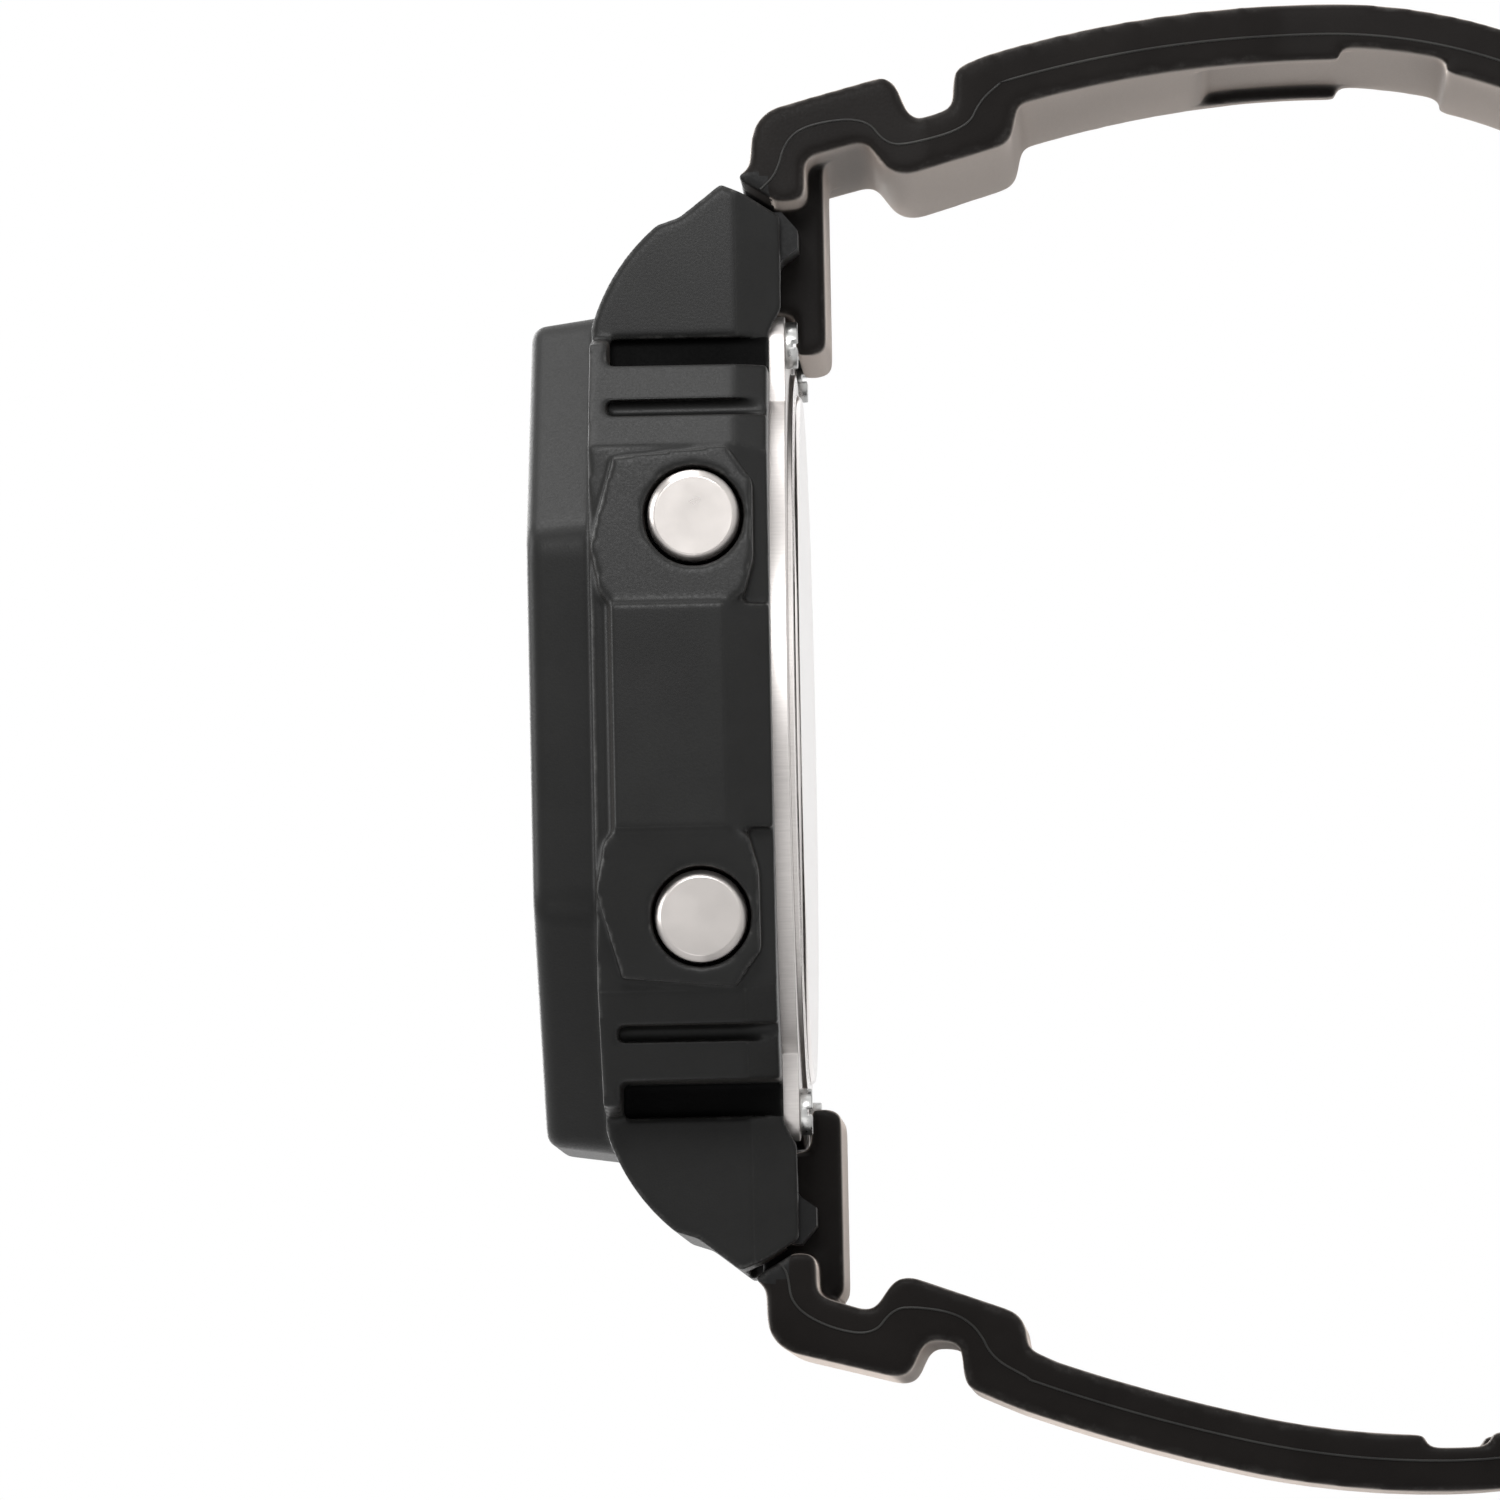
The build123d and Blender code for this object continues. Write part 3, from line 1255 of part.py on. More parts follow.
for place_name, (side_x, side_y) in button_places.items():
    axis_place = (side_y * button_y, side_x * button_z)

    with BuildPart() as button:
        with BuildSketch(button_plane(side_x, cap_back_x)):
            with Locations(axis_place):
                Circle(button_radius)
        extrude(amount=button_cap_length)
        chamfer(button.faces().sort_by(Axis.X)[-1 if side_x > 0 else 0].edges(), button_bevel)
        with BuildSketch(button_plane(side_x, cap_back_x)):
            with Locations(axis_place):
                Circle(button_bore_radius)
        extrude(amount=button_bore_depth, mode=Mode.SUBTRACT)
        with BuildSketch(button_plane(side_x, stem_end_x)):
            with Locations(axis_place):
                Circle(stem_radius)
        extrude(amount=spring_end_x - stem_end_x)
        for groove_x, width in (
            (seal_x - seal_section_radius, 2 * seal_section_radius),
            (button_boss_start_x - fit_gap - clip_ring_thickness, clip_ring_thickness),
        ):
            with BuildSketch(button_plane(side_x, groove_x)):
                with Locations(axis_place):
                    Circle(stem_radius + run_gap)
                    Circle(stem_radius - stem_groove_depth, mode=Mode.SUBTRACT)
            extrude(amount=width, mode=Mode.SUBTRACT)
    save(button.part, f"button_{place_name}")

    with BuildPart() as seal:
        seal_centre = (side_x * seal_x, side_y * button_y, button_z)
        seal_plane = Plane(origin=seal_centre, x_dir=(0, 1, 0), z_dir=(0, 0, 1))
        with BuildSketch(seal_plane):
            with Locations((stem_radius - stem_groove_depth + seal_section_radius + pin_gap / 2, 0)):
                Circle(seal_section_radius)
        revolve(axis=Axis(seal_centre, (side_x, 0, 0)))
    save(seal.part, f"button_seal_{place_name}")

    with BuildPart() as clip:
        with BuildSketch(button_plane(side_x, button_boss_start_x - fit_gap - clip_ring_thickness)):
            with Locations(axis_place):
                Circle(clip_ring_radius)
                Circle(stem_radius - stem_groove_depth + pin_gap, mode=Mode.SUBTRACT)
            with Locations((axis_place[0], axis_place[1] - side_x * clip_ring_radius)):
                Rectangle(clip_mouth, 2 * clip_ring_radius, mode=Mode.SUBTRACT)
        extrude(amount=clip_ring_thickness)
    save(clip.part, f"button_clip_{place_name}")

    with BuildPart() as spring:
        with BuildLine() as coil:
            Helix(
                spring_length / spring_turns, spring_length, spring_radius,
                center=(side_x * spring_start_x, side_y * button_y, button_z), direction=(side_x, 0, 0),
            )
        with BuildSketch(Plane(origin=coil.line @ 0, z_dir=coil.line % 0)):
            Circle(spring_wire_radius)
        sweep(path=coil.line, is_frenet=True)
    save(spring.part, f"button_spring_{place_name}")
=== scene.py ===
"""Looks of the ana-digi watch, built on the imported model."""

import json
from math import cos, radians, sin

import bmesh
import bpy
from mathutils import Matrix, Vector
from mathutils.bvhtree import BVHTree

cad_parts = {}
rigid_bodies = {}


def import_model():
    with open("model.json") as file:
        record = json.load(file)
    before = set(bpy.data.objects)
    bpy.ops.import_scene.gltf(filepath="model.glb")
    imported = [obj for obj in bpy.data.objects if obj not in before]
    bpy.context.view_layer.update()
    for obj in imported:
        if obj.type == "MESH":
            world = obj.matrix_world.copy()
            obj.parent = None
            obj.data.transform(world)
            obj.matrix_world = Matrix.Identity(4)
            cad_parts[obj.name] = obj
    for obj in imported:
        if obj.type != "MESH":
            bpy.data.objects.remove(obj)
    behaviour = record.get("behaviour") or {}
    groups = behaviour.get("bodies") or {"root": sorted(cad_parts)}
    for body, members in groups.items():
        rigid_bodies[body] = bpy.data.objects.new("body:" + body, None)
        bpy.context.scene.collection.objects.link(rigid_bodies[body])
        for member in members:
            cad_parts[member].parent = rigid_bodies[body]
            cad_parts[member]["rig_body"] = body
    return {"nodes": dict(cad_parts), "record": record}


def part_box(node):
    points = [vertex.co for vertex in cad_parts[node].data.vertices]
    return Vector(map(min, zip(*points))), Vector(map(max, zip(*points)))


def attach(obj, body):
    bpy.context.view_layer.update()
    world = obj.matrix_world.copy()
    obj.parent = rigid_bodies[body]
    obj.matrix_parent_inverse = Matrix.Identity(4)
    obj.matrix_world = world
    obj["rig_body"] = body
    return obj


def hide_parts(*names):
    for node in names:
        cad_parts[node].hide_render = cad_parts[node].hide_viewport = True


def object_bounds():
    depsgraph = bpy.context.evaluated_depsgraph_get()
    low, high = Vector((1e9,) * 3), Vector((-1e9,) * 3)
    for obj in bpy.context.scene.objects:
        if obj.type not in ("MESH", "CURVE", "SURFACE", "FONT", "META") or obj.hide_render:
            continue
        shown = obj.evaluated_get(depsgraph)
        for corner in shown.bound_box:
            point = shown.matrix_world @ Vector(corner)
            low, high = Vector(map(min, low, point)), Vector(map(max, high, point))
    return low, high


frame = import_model()
cad_box = [list(corner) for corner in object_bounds()]
nodes = frame["nodes"]
scene = bpy.context.scene
MM = 0.001
SIDES = (1, -1)


def box_mm(node_name):
    """Lowest and highest corners of a CAD node, in millimetres."""
    return [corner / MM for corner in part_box(node_name)]


def middle_mm(node_name):
    """Middle of a CAD node, in millimetres."""
    low, high = box_mm(node_name)
    return (low + high) / 2


# Materials: noise scales in cycles a metre, depths in millimetres
mottle_scale = 260.0
grain_scale = 9000.0
fleck_scale = 900.0
brush_scale = 900.0
grain_depth = 0.01
brush_depth = 0.003
satin_depth = 0.005
resin_strength = 0.5
metal_strength = 0.4
sheen_roughness = 0.35
sheen_tint = (1.0, 0.87, 0.78, 1)
wall_roughness = 0.42
disc_roughness = 0.16
step_blur = 0.02


def new_material(name, color, roughness, metallic=0.0, ior=1.5):
    """Principled material with its own sockets set directly."""
    material = bpy.data.materials.new(name)
    material.use_nodes = True
    shader = material.node_tree.nodes["Principled BSDF"]
    shader.inputs["Base Color"].default_value = (*color, 1)
    shader.inputs["Roughness"].default_value = roughness
    shader.inputs["Metallic"].default_value = metallic
    shader.inputs["IOR"].default_value = ior
    return material, material.node_tree, shader


def add_node(tree, kind, **values):
    """Node of a kind, with named inputs or properties set."""
    node = tree.nodes.new(kind)
    for key, value in values.items():
        if key in node.inputs:
            node.inputs[key].default_value = value
        else:
            setattr(node, key, value)
    return node


def object_point(tree, scale=(1, 1, 1)):
    """The surface point in the object's own frame, stretched by a scale."""
    point = add_node(tree, "ShaderNodeTexCoord")
    mapping = add_node(tree, "ShaderNodeMapping")
    mapping.inputs["Scale"].default_value = scale
    tree.links.new(point.outputs["Object"], mapping.inputs["Vector"])
    return mapping.outputs["Vector"]


def noise(tree, vector, scale, detail=3.0, roughness=0.55):
    """Noise value over a vector, with its scale in cycles per metre."""
    node = add_node(tree, "ShaderNodeTexNoise", Scale=scale, Detail=detail, Roughness=roughness)
    tree.links.new(vector, node.inputs["Vector"])
    return node.outputs["Fac"]


def ramp(tree, value, stops):
    """Colour ramp over a value, as (place, colour) stops."""
    node = add_node(tree, "ShaderNodeValToRGB")
    elements = node.color_ramp.elements
    while len(elements) < len(stops):
        elements.new(0.5)
    for element, (place, color) in zip(elements, stops):
        element.position = place
        element.color = (*color, 1)
    tree.links.new(value, node.inputs["Fac"])
    return node.outputs["Color"]


def level(tree, value, low, high, to_low, to_high):
    """Value mapped from one range to another and held inside it."""
    node = add_node(tree, "ShaderNodeMapRange")
    for key, number in (("From Min", low), ("From Max", high), ("To Min", to_low), ("To Max", to_high)):
        node.inputs[key].default_value = number
    tree.links.new(value, node.inputs["Value"])
    return node.outputs["Result"]


def combine(tree, operation, first, second):
    """Two sockets joined by a math operation."""
    node = add_node(tree, "ShaderNodeMath", operation=operation)
    tree.links.new(first, node.inputs[0])
    tree.links.new(second, node.inputs[1])
    return node.outputs["Value"]


def tinted(tree, factor, base, color):
    """Colour socket that a factor turns from a base socket to a plain colour."""
    node = add_node(tree, "ShaderNodeMix", data_type="RGBA")
    node.inputs["B"].default_value = (*color, 1)
    tree.links.new(factor, node.inputs["Factor"])
    tree.links.new(base, node.inputs["A"])
    return node.outputs["Result"]


def bump(tree, shader, height, depth, strength):
    """Bump on a shader from a height value, with its depth in millimetres."""
    node = add_node(tree, "ShaderNodeBump", Distance=depth * MM, Strength=strength)
    tree.links.new(height, node.inputs["Height"])
    tree.links.new(node.outputs["Normal"], shader.inputs["Normal"])


def resin(name, dark, light, worn, ior, roughness, sheen):
    """Matt moulded resin: faint mottling, fine grain, dusty sheen, and edges that are worn lighter."""
    material, tree, shader = new_material(name, dark, roughness, ior=ior)
    shader.inputs["Sheen Weight"].default_value = sheen
    shader.inputs["Sheen Roughness"].default_value = sheen_roughness
    shader.inputs["Sheen Tint"].default_value = sheen_tint
    vector = object_point(tree)
    mottled = ramp(tree, noise(tree, vector, mottle_scale), ((0.32, dark), (0.7, light)))
    grain = noise(tree, vector, grain_scale, 2.0)
    edge = add_node(tree, "ShaderNodeAttribute", attribute_name="wear")
    edge = level(tree, edge.outputs["Fac"], 0.25, 0.9, 0.0, 1.0)
    fleck = level(tree, noise(tree, vector, fleck_scale, 5.0, 0.75), 0.5, 0.66, 0.25, 1.0)
    color = tinted(tree, combine(tree, "MULTIPLY", edge, fleck), mottled, worn)
    tree.links.new(color, shader.inputs["Base Color"])
    rough = level(tree, grain, 0.3, 0.7, roughness - 0.06, roughness + 0.08)
    tree.links.new(rough, shader.inputs["Roughness"])
    bump(tree, shader, grain, grain_depth, resin_strength)
    return material


def steel(name, color, roughness, scale, stretch, depth):
    """Steel with brushing stretched along one direction."""
    material, tree, shader = new_material(name, color, roughness, metallic=1.0)
    lines = noise(tree, object_point(tree, stretch), scale, 4.0, 0.6)
    shade = [c * 0.9 for c in color]
    tree.links.new(ramp(tree, lines, ((0.3, shade), (0.7, color))), shader.inputs["Base Color"])
    tree.links.new(level(tree, lines, 0.3, 0.7, roughness, roughness + 0.1), shader.inputs["Roughness"])
    bump(tree, shader, lines, depth, metal_strength)
    return material


def cover_steel(name, brushed, polished, step_z):
    """Steel that is brushed along the cover's wall and polished on the disc below a height."""
    material, tree, shader = new_material(name, brushed, wall_roughness, metallic=1.0)
    height = add_node(tree, "ShaderNodeSeparateXYZ")
    tree.links.new(object_point(tree), height.inputs[0])
    low, high = (step_z - step_blur) * MM, (step_z + step_blur) * MM
    disc = level(tree, height.outputs["Z"], low, high, 1.0, 0.0)
    lines = noise(tree, object_point(tree, (1, 14, 1)), brush_scale, 4.0, 0.6)
    wall = ramp(tree, lines, ((0.3, [c * 0.88 for c in brushed]), (0.7, brushed)))
    tree.links.new(tinted(tree, disc, wall, polished), shader.inputs["Base Color"])
    rough = level(tree, disc, 0.0, 1.0, wall_roughness, disc_roughness)
    tree.links.new(rough, shader.inputs["Roughness"])
    bump(tree, shader, lines, brush_depth, metal_strength)
    return material


def satin(name, color, roughness, scale, metallic=0.0):
    """Painted or moulded finish with a fine grain."""
    material, tree, shader = new_material(name, color, roughness, metallic=metallic)
    grain = noise(tree, object_point(tree), scale)
    shade = [c * 0.88 for c in color]
    tree.links.new(ramp(tree, grain, ((0.3, shade), (0.7, color))), shader.inputs["Base Color"])
    bump(tree, shader, grain, satin_depth, metal_strength)
    return material


pale_wear = (0.065, 0.064, 0.062)
strap_wear = (0.03, 0.028, 0.027)
cover_step_z = 0.3
case_resin = resin(
    "case_resin", (0.009, 0.009, 0.0088), (0.0125, 0.0125, 0.0122), pale_wear,
    ior=1.27, roughness=0.4, sheen=0.02,
)
strap_resin = resin(
    "strap_resin", (0.0062, 0.0052, 0.0048), (0.0095, 0.0082, 0.0076), strap_wear,
    ior=1.15, roughness=0.42, sheen=0.88,
)
seam_resin = resin(
    "seam_resin", (0.01, 0.01, 0.0095), (0.03, 0.03, 0.028), pale_wear,
    ior=1.3, roughness=0.35, sheen=0.1,
)
# Resin of the case's inner parts; also put on the strap heads as painted shade, dark and without sheen
core_and_head_shade_resin = resin(
    "core_and_head_shade_resin", (0.006, 0.006, 0.0062), (0.009, 0.009, 0.0092), pale_wear,
    ior=1.25, roughness=0.5, sheen=0.02,
)
# Dark, rough resin painted into the wide grip grooves as painted shade under the lugs
groove_shade_resin = resin(
    "groove_shade_resin", (0.002, 0.002, 0.002), (0.004, 0.004, 0.004), pale_wear,
    ior=1.12, roughness=0.6, sheen=0.0,
)
back_steel = cover_steel("back_steel", (0.7, 0.665, 0.645), (0.9, 0.855, 0.835), cover_step_z)
screw_steel = steel("screw_steel", (0.55, 0.55, 0.54), 0.25, 2500.0, (1, 1, 1), brush_depth)
button_steel = steel("button_steel", (0.52, 0.49, 0.47), 0.25, 300.0, (1, 1, 1), 0.0002)
buckle_steel = steel("buckle_steel", (0.5, 0.5, 0.49), 0.24, 1200.0, (1, 12, 12), 0.004)
seal_rubber = satin("seal_rubber", (0.02, 0.02, 0.02), 0.6, 2000.0)
dial_paint = satin("dial_paint", (0.016, 0.017, 0.019), 0.5, 5000.0)
trim_paint = satin("trim_paint", (0.03, 0.031, 0.033), 0.35, 3000.0)
marker_paint = satin("marker_paint", (0.72, 0.74, 0.7), 0.45, 4000.0)
print_white = satin("print_white", (0.75, 0.75, 0.74), 0.5, 4000.0)
hand_metal = satin("hand_metal", (0.75, 0.75, 0.74), 0.25, 3000.0, metallic=1.0)
brass = satin("brass", (0.72, 0.55, 0.28), 0.3, 3000.0, metallic=1.0)
module_plastic = satin("module_plastic", (0.04, 0.04, 0.042), 0.45, 2500.0)
board_green = satin("board_green", (0.02, 0.12, 0.05), 0.4, 3000.0)
copper = satin("copper", (0.5, 0.2, 0.08), 0.4, 6000.0, metallic=1.0)
lume = satin("lume", (0.62, 0.68, 0.58), 0.55, 5000.0)
lcd_glass = satin("lcd_glass", (0.34, 0.37, 0.31), 0.2, 6000.0)
lcd_ink = satin("lcd_ink", (0.03, 0.035, 0.035), 0.3, 6000.0)

glass, _, glass_shader = new_material("crystal_glass", (0.9, 0.94, 0.94), 0.03, ior=1.52)
glass_shader.inputs["Alpha"].default_value = 0.1
glass_shader.inputs["Coat Weight"].default_value = 0.4

materials = {
    "resin": case_resin, "strap_resin": strap_resin, "case_resin": core_and_head_shade_resin, "back_steel": back_steel,
    "screw_steel": screw_steel, "button_steel": button_steel, "buckle_steel": buckle_steel,
    "seal_rubber": seal_rubber, "crystal_glass": glass, "dial": dial_paint, "dial_trim": trim_paint,
    "marker": marker_paint, "lcd": lcd_glass, "hand": hand_metal, "sub_hand": hand_metal,
    "gear_brass": brass, "module_plastic": module_plastic, "board": board_green, "coil": copper,
    "cell_steel": screw_steel,
}
slot_of = {row["node"]: row["material_slot"] for row in frame["record"]["subparts"]}
for name, node in nodes.items():
    node.data.materials.clear()
    node.data.materials.append(materials[slot_of[name]])


# Pieces that stand for CAD nodes
weld_gap = 0.002
merge_angle = radians(0.5)
sharp_angle = radians(35)
bevel_segments = 2
kept_share = 0.5
full_wear = 0.07


def place(name, mesh, body, material, slot_name):
    """Object of a mesh that rides on a body."""
    piece = bpy.data.objects.new(name, mesh)
    scene.collection.objects.link(piece)
    mesh.materials.append(material)
    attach(piece, body)
    return piece


def welded(source):
    """Editable copy of a CAD node's mesh, with its loose corners joined."""
    shape = bmesh.new()
    shape.from_mesh(source.data)
    bmesh.ops.remove_doubles(shape, verts=shape.verts, dist=weld_gap * MM)
    return shape


def stand_in(node_name, mesh):
    """Smooth shaded mesh shown in the place of a CAD node."""
    for polygon in mesh.polygons:
        polygon.use_smooth = True
    slot_name = slot_of[node_name]
    body = nodes[node_name]["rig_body"]
    piece = place(node_name + "_shape", mesh, body, materials[slot_name], slot_name)
    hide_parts(node_name)
    return piece


def dress(node_name, width):
    """Copy of a CAD node with joined faces and rounded edges, shown in its place."""
    shape = welded(nodes[node_name])
    bmesh.ops.dissolve_limit(
        shape, angle_limit=merge_angle, verts=shape.verts, edges=shape.edges, use_dissolve_boundaries=False,
    )
    mesh = bpy.data.meshes.new(node_name + "_shape")
    shape.to_mesh(mesh)
    shape.free()
    piece = stand_in(node_name, mesh)
    mesh.set_sharp_from_angle(angle=sharp_angle)
    bevel = piece.modifiers.new("edges", "BEVEL")
    bevel.width = width * MM
    bevel.segments = bevel_segments
    bevel.limit_method = "ANGLE"
    bevel.angle_limit = sharp_angle
    bevel.use_clamp_overlap = False
    bevel.miter_outer = "MITER_ARC"
    weighted = piece.modifiers.new("shading", "WEIGHTED_NORMAL")
    weighted.keep_sharp = False


def soften(node_name, cell, passes):
    """Copy of a CAD node with every edge rounded as in a mould, shown in its place."""
    shape = welded(nodes[node_name])
    bmesh.ops.scale(shape, vec=(1 / MM, 1 / MM, 1 / MM), verts=shape.verts)
    surface = BVHTree.FromBMesh(shape)
    rough = bpy.data.meshes.new(node_name + "_rough")
    shape.to_mesh(rough)
    shape.free()
    worker = bpy.data.objects.new(node_name + "_worker", rough)
    scene.collection.objects.link(worker)
    remesh = worker.modifiers.new("cells", "REMESH")
    remesh.mode = "VOXEL"
    remesh.voxel_size = cell
    smooth = worker.modifiers.new("rounding", "SMOOTH")
    smooth.factor = 0.5
    smooth.iterations = passes
    thin = worker.modifiers.new("thinning", "DECIMATE")
    thin.ratio = kept_share
    bpy.context.view_layer.update()
    evaluated = worker.evaluated_get(bpy.context.evaluated_depsgraph_get())
    mesh = bpy.data.meshes.new_from_object(evaluated)
    bpy.data.objects.remove(worker)
    wear = mesh.attributes.new("wear", "FLOAT", "POINT")
    for vertex, worn in zip(mesh.vertices, wear.data):
        nearest, _, _, gap = surface.find_nearest(vertex.co)
        worn.value = min(gap / full_wear, 1) if (nearest - vertex.co).dot(vertex.normal) > 0 else 0
    mesh.transform(Matrix.Scale(MM, 4))
    mesh.name = node_name + "_shape"
    mesh.materials.clear()
    return stand_in(node_name, mesh)


def repaint(piece, material, inside):
    """Second material on the faces whose middle is inside a region."""
    piece.data.materials.append(material)
    for polygon in piece.data.polygons:
        if inside(*(polygon.center / MM)):
            polygon.material_index = 1


def in_shaded_groove(x, y, z):
    """Whether a point is in one of the wide grip grooves, whose faces get a darker, rougher resin as
    painted shade.
    """
    return groove_near_y < abs(y) < groove_far_y and abs(x) < groove_edge_x and z < groove_front_z


def in_shaded_head(x, y, z):
    """Whether a point is on a strap half's head, beside its hinge, where the darker core resin without
    sheen is painted shade under the lug.
    """
    return abs(y) < hinge_y + head_reach and z > head_z


hinge_y = middle_mm("spring_bar_upper").y
head_reach = 2.9
head_z = 1.0
groove_near_y, groove_far_y = 15.95, 17.4
groove_edge_x = 12.9
groove_front_z = 8.3
# The wide grip grooves get a darker, rougher resin: painted shade under the lugs, not a deeper groove
repaint(soften("outer_bezel", 0.14, 6), groove_shade_resin, in_shaded_groove)
# The strap heads beside the hinges get the core resin without sheen: painted shade under the lugs
for half in ("strap_upper", "strap_lower"):
    repaint(soften(half, 0.2, 14), core_and_head_shade_resin, in_shaded_head)
soften("keeper", 0.16, 6)
dress("buckle_frame", 0.12)
dress("rear_cover", 0.06)
dress("rear_cover_screws", 0.04)
dress("hour_markers", 0.06)
dress("hour_hand", 0.03)
dress("minute_hand", 0.03)
for name in ("two", "four", "eight", "ten"):
    dress(f"button_{name}", 0.05)


# Thin raised seam of the mould along the strap's sides
def rounded(points):
    """Points of a line after its corners are cut a few times."""
    for _ in range(corner_cuts):
        cut = [points[0]]
        for (y0, z0), (y1, z1) in zip(points, points[1:]):
            for share in (0.25, 0.75):
                cut.append((y0 + share * (y1 - y0), z0 + share * (z1 - z0)))
        points = cut + [points[-1]]
    return points


def strap_half_width(z):
    """Half the strap's width at a height."""
    share = min(max((taper_top_z - z) / (taper_top_z - taper_end_z), 0), 1)
    return strap_wide + (strap_narrow - strap_wide) * share


def seam(name, body, side_y, corners, start, heading, arcs):
    """Seams on both faces of a strap half: its zigzag, then arcs at a depth inside the outer line."""
    points = [(hinge_y + y, z) for y, z in rounded(corners)]
    y, z = hinge_y + start[0], start[1]
    for radius, turn in arcs:
        centre = (y - radius * cos(radians(heading)), z - radius * sin(radians(heading)))
        for step in range(arc_steps + 1):
            angle = radians(heading - turn * step / arc_steps)
            inside = radius - seam_depth
            points.append((centre[0] + inside * cos(angle), centre[1] + inside * sin(angle)))
        heading -= turn
        y = centre[0] + radius * cos(radians(heading))
        z = centre[1] + radius * sin(radians(heading))
    for side_x in SIDES:
        curve = bpy.data.curves.new(name, "CURVE")
        curve.dimensions = "3D"
        curve.bevel_depth = seam_radius * MM
        curve.bevel_resolution = 1
        spline = curve.splines.new("POLY")
        spline.points.add(len(points) - 1)
        for point, (y_side, z_side) in zip(spline.points, points):
            x_side = side_x * (strap_half_width(z_side) + seam_proud)
            point.co = (x_side * MM, side_y * y_side * MM, z_side * MM, 1)
        curve.materials.append(seam_resin)
        line = bpy.data.objects.new(f"{name}_{'right' if side_x > 0 else 'left'}", curve)
        scene.collection.objects.link(line)
        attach(line, body)


corner_cuts = 3
arc_steps = 24
seam_radius = 0.06
seam_proud = 0.01
seam_depth = 1.4
strap_wide = box_mm("strap_upper")[1].x
strap_narrow = 10.0
taper_top_z = -6.0
taper_end_z = -22.0

# Zigzags as (distance from the hinge, height), arcs of the outer line as (radius, turn in degrees)
upper_corners = (
    (2.2, 1.45), (2.9, 0.7), (4.4, 0.3), (5.1, -0.8), (5.35, -3.3), (4.1, -4.2), (4.1, -5.4), (4.8, -7.9),
    (6.0, -8.45), (6.8, -9.4),
)
upper_start = (8.14, -8.92)
upper_heading = 16.0
upper_arcs = ((54.0, 16.0), (25.5, 22.0), (18.5, 62.0))
lower_corners = (
    (2.2, 1.4), (2.6, 1.15), (4.0, 1.0), (5.0, -0.6), (5.4, -2.6), (4.2, -3.5), (4.15, -4.6), (4.45, -6.3),
    (5.2, -7.3), (6.5, -7.9), (7.35, -9.4),
)
lower_start = (8.82, -9.1)
lower_heading = 20.0
lower_arcs = ((85.0, 7.0), (42.0, 13.0), (27.5, 70.0))
seam("upper_seam", "upper_strap", 1, upper_corners, upper_start, upper_heading, upper_arcs)
seam("lower_seam", "lower_strap", -1, lower_corners, lower_start, lower_heading, lower_arcs)


# Marks printed on the dial, the display's digits and the lume of the hands
def marks(name, outlines, front, material, body):
    """Thin printed plates of flat outlines on a flat front, joined in one piece."""
    shape = bmesh.new()
    for outline in outlines:
        lower, upper = (
            [shape.verts.new((x * MM, y * MM, (front + rise) * MM)) for x, y in outline]
            for rise in (-print_height, print_height)
        )
        shape.faces.new(lower[::-1])
        shape.faces.new(upper)
        for index, corner in enumerate(lower):
            following = (index + 1) % len(lower)
            shape.faces.new((corner, lower[following], upper[following], upper[index]))
    bmesh.ops.recalc_face_normals(shape, faces=shape.faces)
    mesh = bpy.data.meshes.new(name)
    shape.to_mesh(mesh)
    shape.free()
    place(name, mesh, body, material, "marker")


def turned(points, angle, origin=(0, 0)):
    """Flat points turned clockwise, then moved to an origin."""
    c, s = cos(radians(angle)), sin(radians(angle))
    return [(origin[0] + c * x + s * y, origin[1] - s * x + c * y) for x, y in points]


def bar(width, near, far):
    """Outline of a bar along 12 o'clock."""
    return [(-width / 2, near), (width / 2, near), (width / 2, far), (-width / 2, far)]


def ticks(width, near, far, turns, origin=(0, 0)):
    """Bars round an origin, at clockwise turns from 12 o'clock."""
    return [turned(bar(width, near, far), angle, origin) for angle in turns]


print_height = 0.03
ring_rim = 0.1
ring_mark_length = 0.5
minute_mark_width = 0.2
hour_mark_width = 0.45
ring_high = box_mm("dial_ring")[1]
ring_outer = ring_high.x - ring_rim
ring_inner = ring_outer - ring_mark_length
hour_turns = range(0, 360, 30)
minute_turns = [turn for turn in range(0, 360, 6) if turn not in hour_turns]
minute_marks = ticks(minute_mark_width, ring_inner, ring_outer, minute_turns)
minute_marks += ticks(hour_mark_width, ring_inner, ring_outer, hour_turns)
marks("minute_marks", minute_marks, ring_high.z, print_white, "case")

# Lume of the hands, on their fronts
lume_width = 0.62
lume_start = 1.9
for hand_name, body, angle, far in (
    ("hour_hand", "hour", 304.0, 6.6), ("minute_hand", "minute", 48.0, 10.2),
):
    outline = bar(lume_width, lume_start, far)
    outline.insert(3, (0, far + lume_width))
    marks(f"{hand_name}_lume", [turned(outline, angle)], box_mm(hand_name)[1].z, lume, body)

# Marks inside the sub-dial's ring
sub_rim = 0.7
sub_mark_width, sub_mark_length = 0.18, 0.45
sub_quarter_width, sub_quarter_length = 0.34, 0.8
sub_middle = middle_mm("sub_dial_ring").xy
sub_outer = box_mm("sub_dial_ring")[1].x - sub_middle.x - sub_rim
sub_inner = sub_outer - sub_mark_length
sub_marks = ticks(sub_mark_width, sub_inner, sub_outer, range(0, 360, 15), sub_middle)
sub_inner = sub_outer - sub_quarter_length
sub_marks += ticks(sub_quarter_width, sub_inner, sub_outer, range(0, 360, 90), sub_middle)
marks("sub_dial_marks", sub_marks, box_mm("dial_plate")[1].z, print_white, "case")

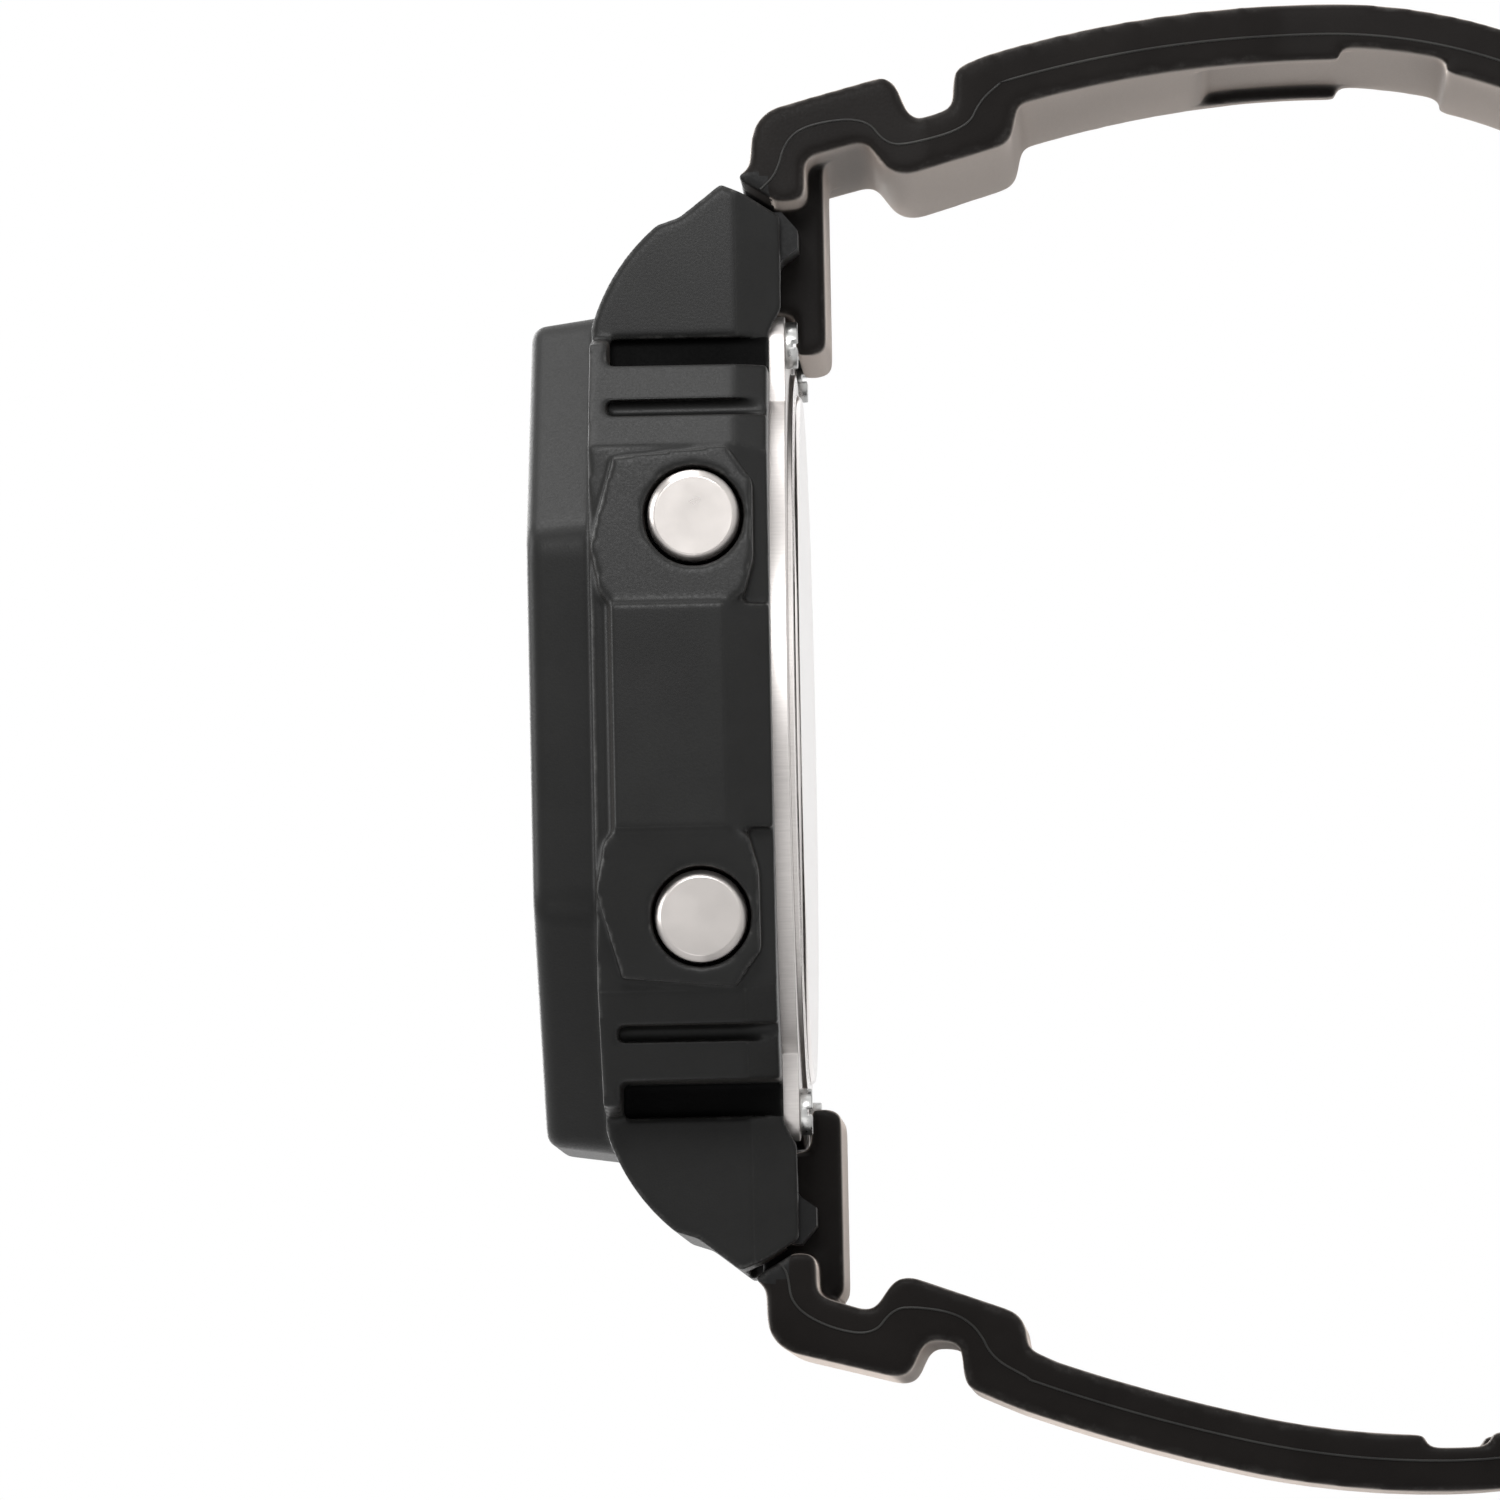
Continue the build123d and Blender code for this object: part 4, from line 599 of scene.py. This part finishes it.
# Digits of the display, placed from its middle
segment_width = 0.2
segment_gap = 0.03
time_places, time_low, time_size = (-3.2, -1.75, 0.25, 1.7), -1.5, (0.95, 1.8)
second_places, second_low, second_size = (1.55, 2.4), 0.95, (0.5, 0.85)
colon_x, colon_places, colon_half = -0.28, (-1.05, -0.2), 0.1
bar_count, bar_pitch, bar_start, bar_low, bar_size = 8, 0.5, -3.3, 1.15, (0.38, 0.22)
SEGMENTS = {"0": "abcdef", "1": "bc", "3": "abgcd", "6": "afgedc", "8": "abcdefg"}


def segment(start, end):
    """Six-sided stroke between two points."""
    first, last = Vector(start), Vector(end)
    along = (last - first).normalized()
    across = Vector((-along.y, along.x)) * segment_width / 2
    first = first + along * segment_gap
    last = last - along * segment_gap
    inner_first, inner_last = first + along * segment_width / 2, last - along * segment_width / 2
    corners = (
        first, inner_first - across, inner_last - across, last, inner_last + across, inner_first + across,
    )
    return [(corner.x, corner.y) for corner in corners]


def digit(character, x, y, width, height):
    """Strokes of one digit, with its lower left corner at a point."""
    left, right, low, middle, high = x, x + width, y, y + height / 2, y + height
    strokes = {
        "a": ((left, high), (right, high)), "b": ((right, middle), (right, high)),
        "c": ((right, low), (right, middle)), "d": ((left, low), (right, low)),
        "e": ((left, low), (left, middle)), "f": ((left, middle), (left, high)),
        "g": ((left, middle), (right, middle)),
    }
    return [segment(*strokes[letter]) for letter in SEGMENTS[character]]


def block(x, y, width, height):
    """Outline of a rectangle with its lower left corner at a point."""
    return [(x, y), (x + width, y), (x + width, y + height), (x, y + height)]


lcd_middle = middle_mm("lcd_display")
strokes = []
for characters, places, low, size in (
    ("1008", time_places, time_low, time_size), ("36", second_places, second_low, second_size),
):
    for character, left in zip(characters, places):
        strokes += digit(character, lcd_middle.x + left, lcd_middle.y + low, *size)
for middle_y in colon_places:
    left, low = lcd_middle.x + colon_x - colon_half, lcd_middle.y + middle_y - colon_half
    strokes.append(block(left, low, 2 * colon_half, 2 * colon_half))
for index in range(bar_count):
    strokes.append(block(lcd_middle.x + bar_start + bar_pitch * index, lcd_middle.y + bar_low, *bar_size))
marks("display_digits", strokes, box_mm("lcd_display")[1].z, lcd_ink, "case")


# Camera at the photograph's angle, in the watch's own frame
picture_size = 1500.0
focal_pixels = 16100.0
vanishing = (1160.0, 1600.0)
roll = radians(1.1)
near_point = Vector((13.0, 0.0, 0.0))
near_pixel = (741.0, 726.0)
pixels_per_mm = 22.4
back_face_offset = 2.75
sensor_width = 36.0

middle = picture_size / 2
axis_x = -Vector((vanishing[0] - middle, middle - vanishing[1], -focal_pixels)).normalized()
up = Vector((-sin(roll), cos(roll), 0.0))
up.z = -(up.x * axis_x.x + up.y * axis_x.y) / axis_x.z
axis_y = up.normalized()
axis_z = axis_x.cross(axis_y)
turn = Matrix((axis_x, axis_y, axis_z)).transposed()
depth = focal_pixels / pixels_per_mm
aside, above = near_pixel[0] - middle, middle - near_pixel[1]
shift = Vector((aside / pixels_per_mm, above / pixels_per_mm, -depth)) - turn @ near_point
spot = -(turn.transposed() @ shift) + Vector((0, 0, back_face_offset))
camera_data = bpy.data.cameras.new("camera")
camera_data.sensor_width = sensor_width
camera_data.lens = focal_pixels / picture_size * sensor_width
camera_data.clip_start = 0.05
camera_data.clip_end = 20.0
camera = bpy.data.objects.new("camera", camera_data)
scene.collection.objects.link(camera)
camera.matrix_world = Matrix.Translation(spot * MM) @ turn.transposed().to_4x4()
scene.camera = camera

# Floor under the strap, with its reach in metres
floor_reach = 0.9
floor_z = cad_box[0][2]
floor_mesh = bpy.data.meshes.new("floor")
floor_mesh.from_pydata(
    [(x * floor_reach, y * floor_reach, floor_z) for x, y in ((-1, -1), (1, -1), (1, 1), (-1, 1))],
    [], [(0, 1, 2, 3)],
)
floor_mesh.materials.append(new_material("floor_paint", (0.8, 0.8, 0.8), 0.6)[0])
floor = bpy.data.objects.new("floor", floor_mesh)
scene.collection.objects.link(floor)

# World: plain light, and a white background for what looks at it directly
soft_strength = 0.25
white_strength = 1.0
world = bpy.data.worlds.new("world")
world.use_nodes = True
scene.world = world
tree = world.node_tree
tree.nodes.clear()
path = add_node(tree, "ShaderNodeLightPath")
direct = combine(tree, "MAXIMUM", path.outputs["Is Camera Ray"], path.outputs["Is Transmission Ray"])
direct = combine(tree, "MAXIMUM", direct, path.outputs["Is Glossy Ray"])
soft = add_node(tree, "ShaderNodeBackground", Color=(1, 1, 1, 1), Strength=soft_strength)
white = add_node(tree, "ShaderNodeBackground", Color=(1, 1, 1, 1), Strength=white_strength)
blend = add_node(tree, "ShaderNodeMixShader")
output = add_node(tree, "ShaderNodeOutputWorld")
tree.links.new(direct, blend.inputs[0])
tree.links.new(soft.outputs[0], blend.inputs[1])
tree.links.new(white.outputs[0], blend.inputs[2])
tree.links.new(blend.outputs[0], output.inputs[0])


# Lamps, with places and sizes in metres and power in watts
def lamp(name, spot, aim, size, power):
    """Square area lamp that faces a point."""
    data = bpy.data.lights.new(name, "AREA")
    data.size = size
    data.energy = power
    light = bpy.data.objects.new(name, data)
    scene.collection.objects.link(light)
    light.location = spot
    light.rotation_euler = (Vector(aim) - Vector(spot)).to_track_quat("-Z", "Y").to_euler()


lamp("key", (0.12, 0.06, 0.01), (0.02, 0.0, 0), 0.04, 0.085)
lamp("high", (0.05, 0.6, 0.15), (0, 0, 0), 0.35, 2.0)
lamp("fill", (0.5, -0.45, 0.1), (0, 0, 0), 0.4, 0.4)
lamp("top", (0.0, 0.15, 0.6), (0, 0, 0), 0.4, 2.5)
lamp("left", (-0.5, 0.1, 0.3), (0, 0, 0), 0.4, 1.6)

scene.view_settings.view_transform = "Standard"
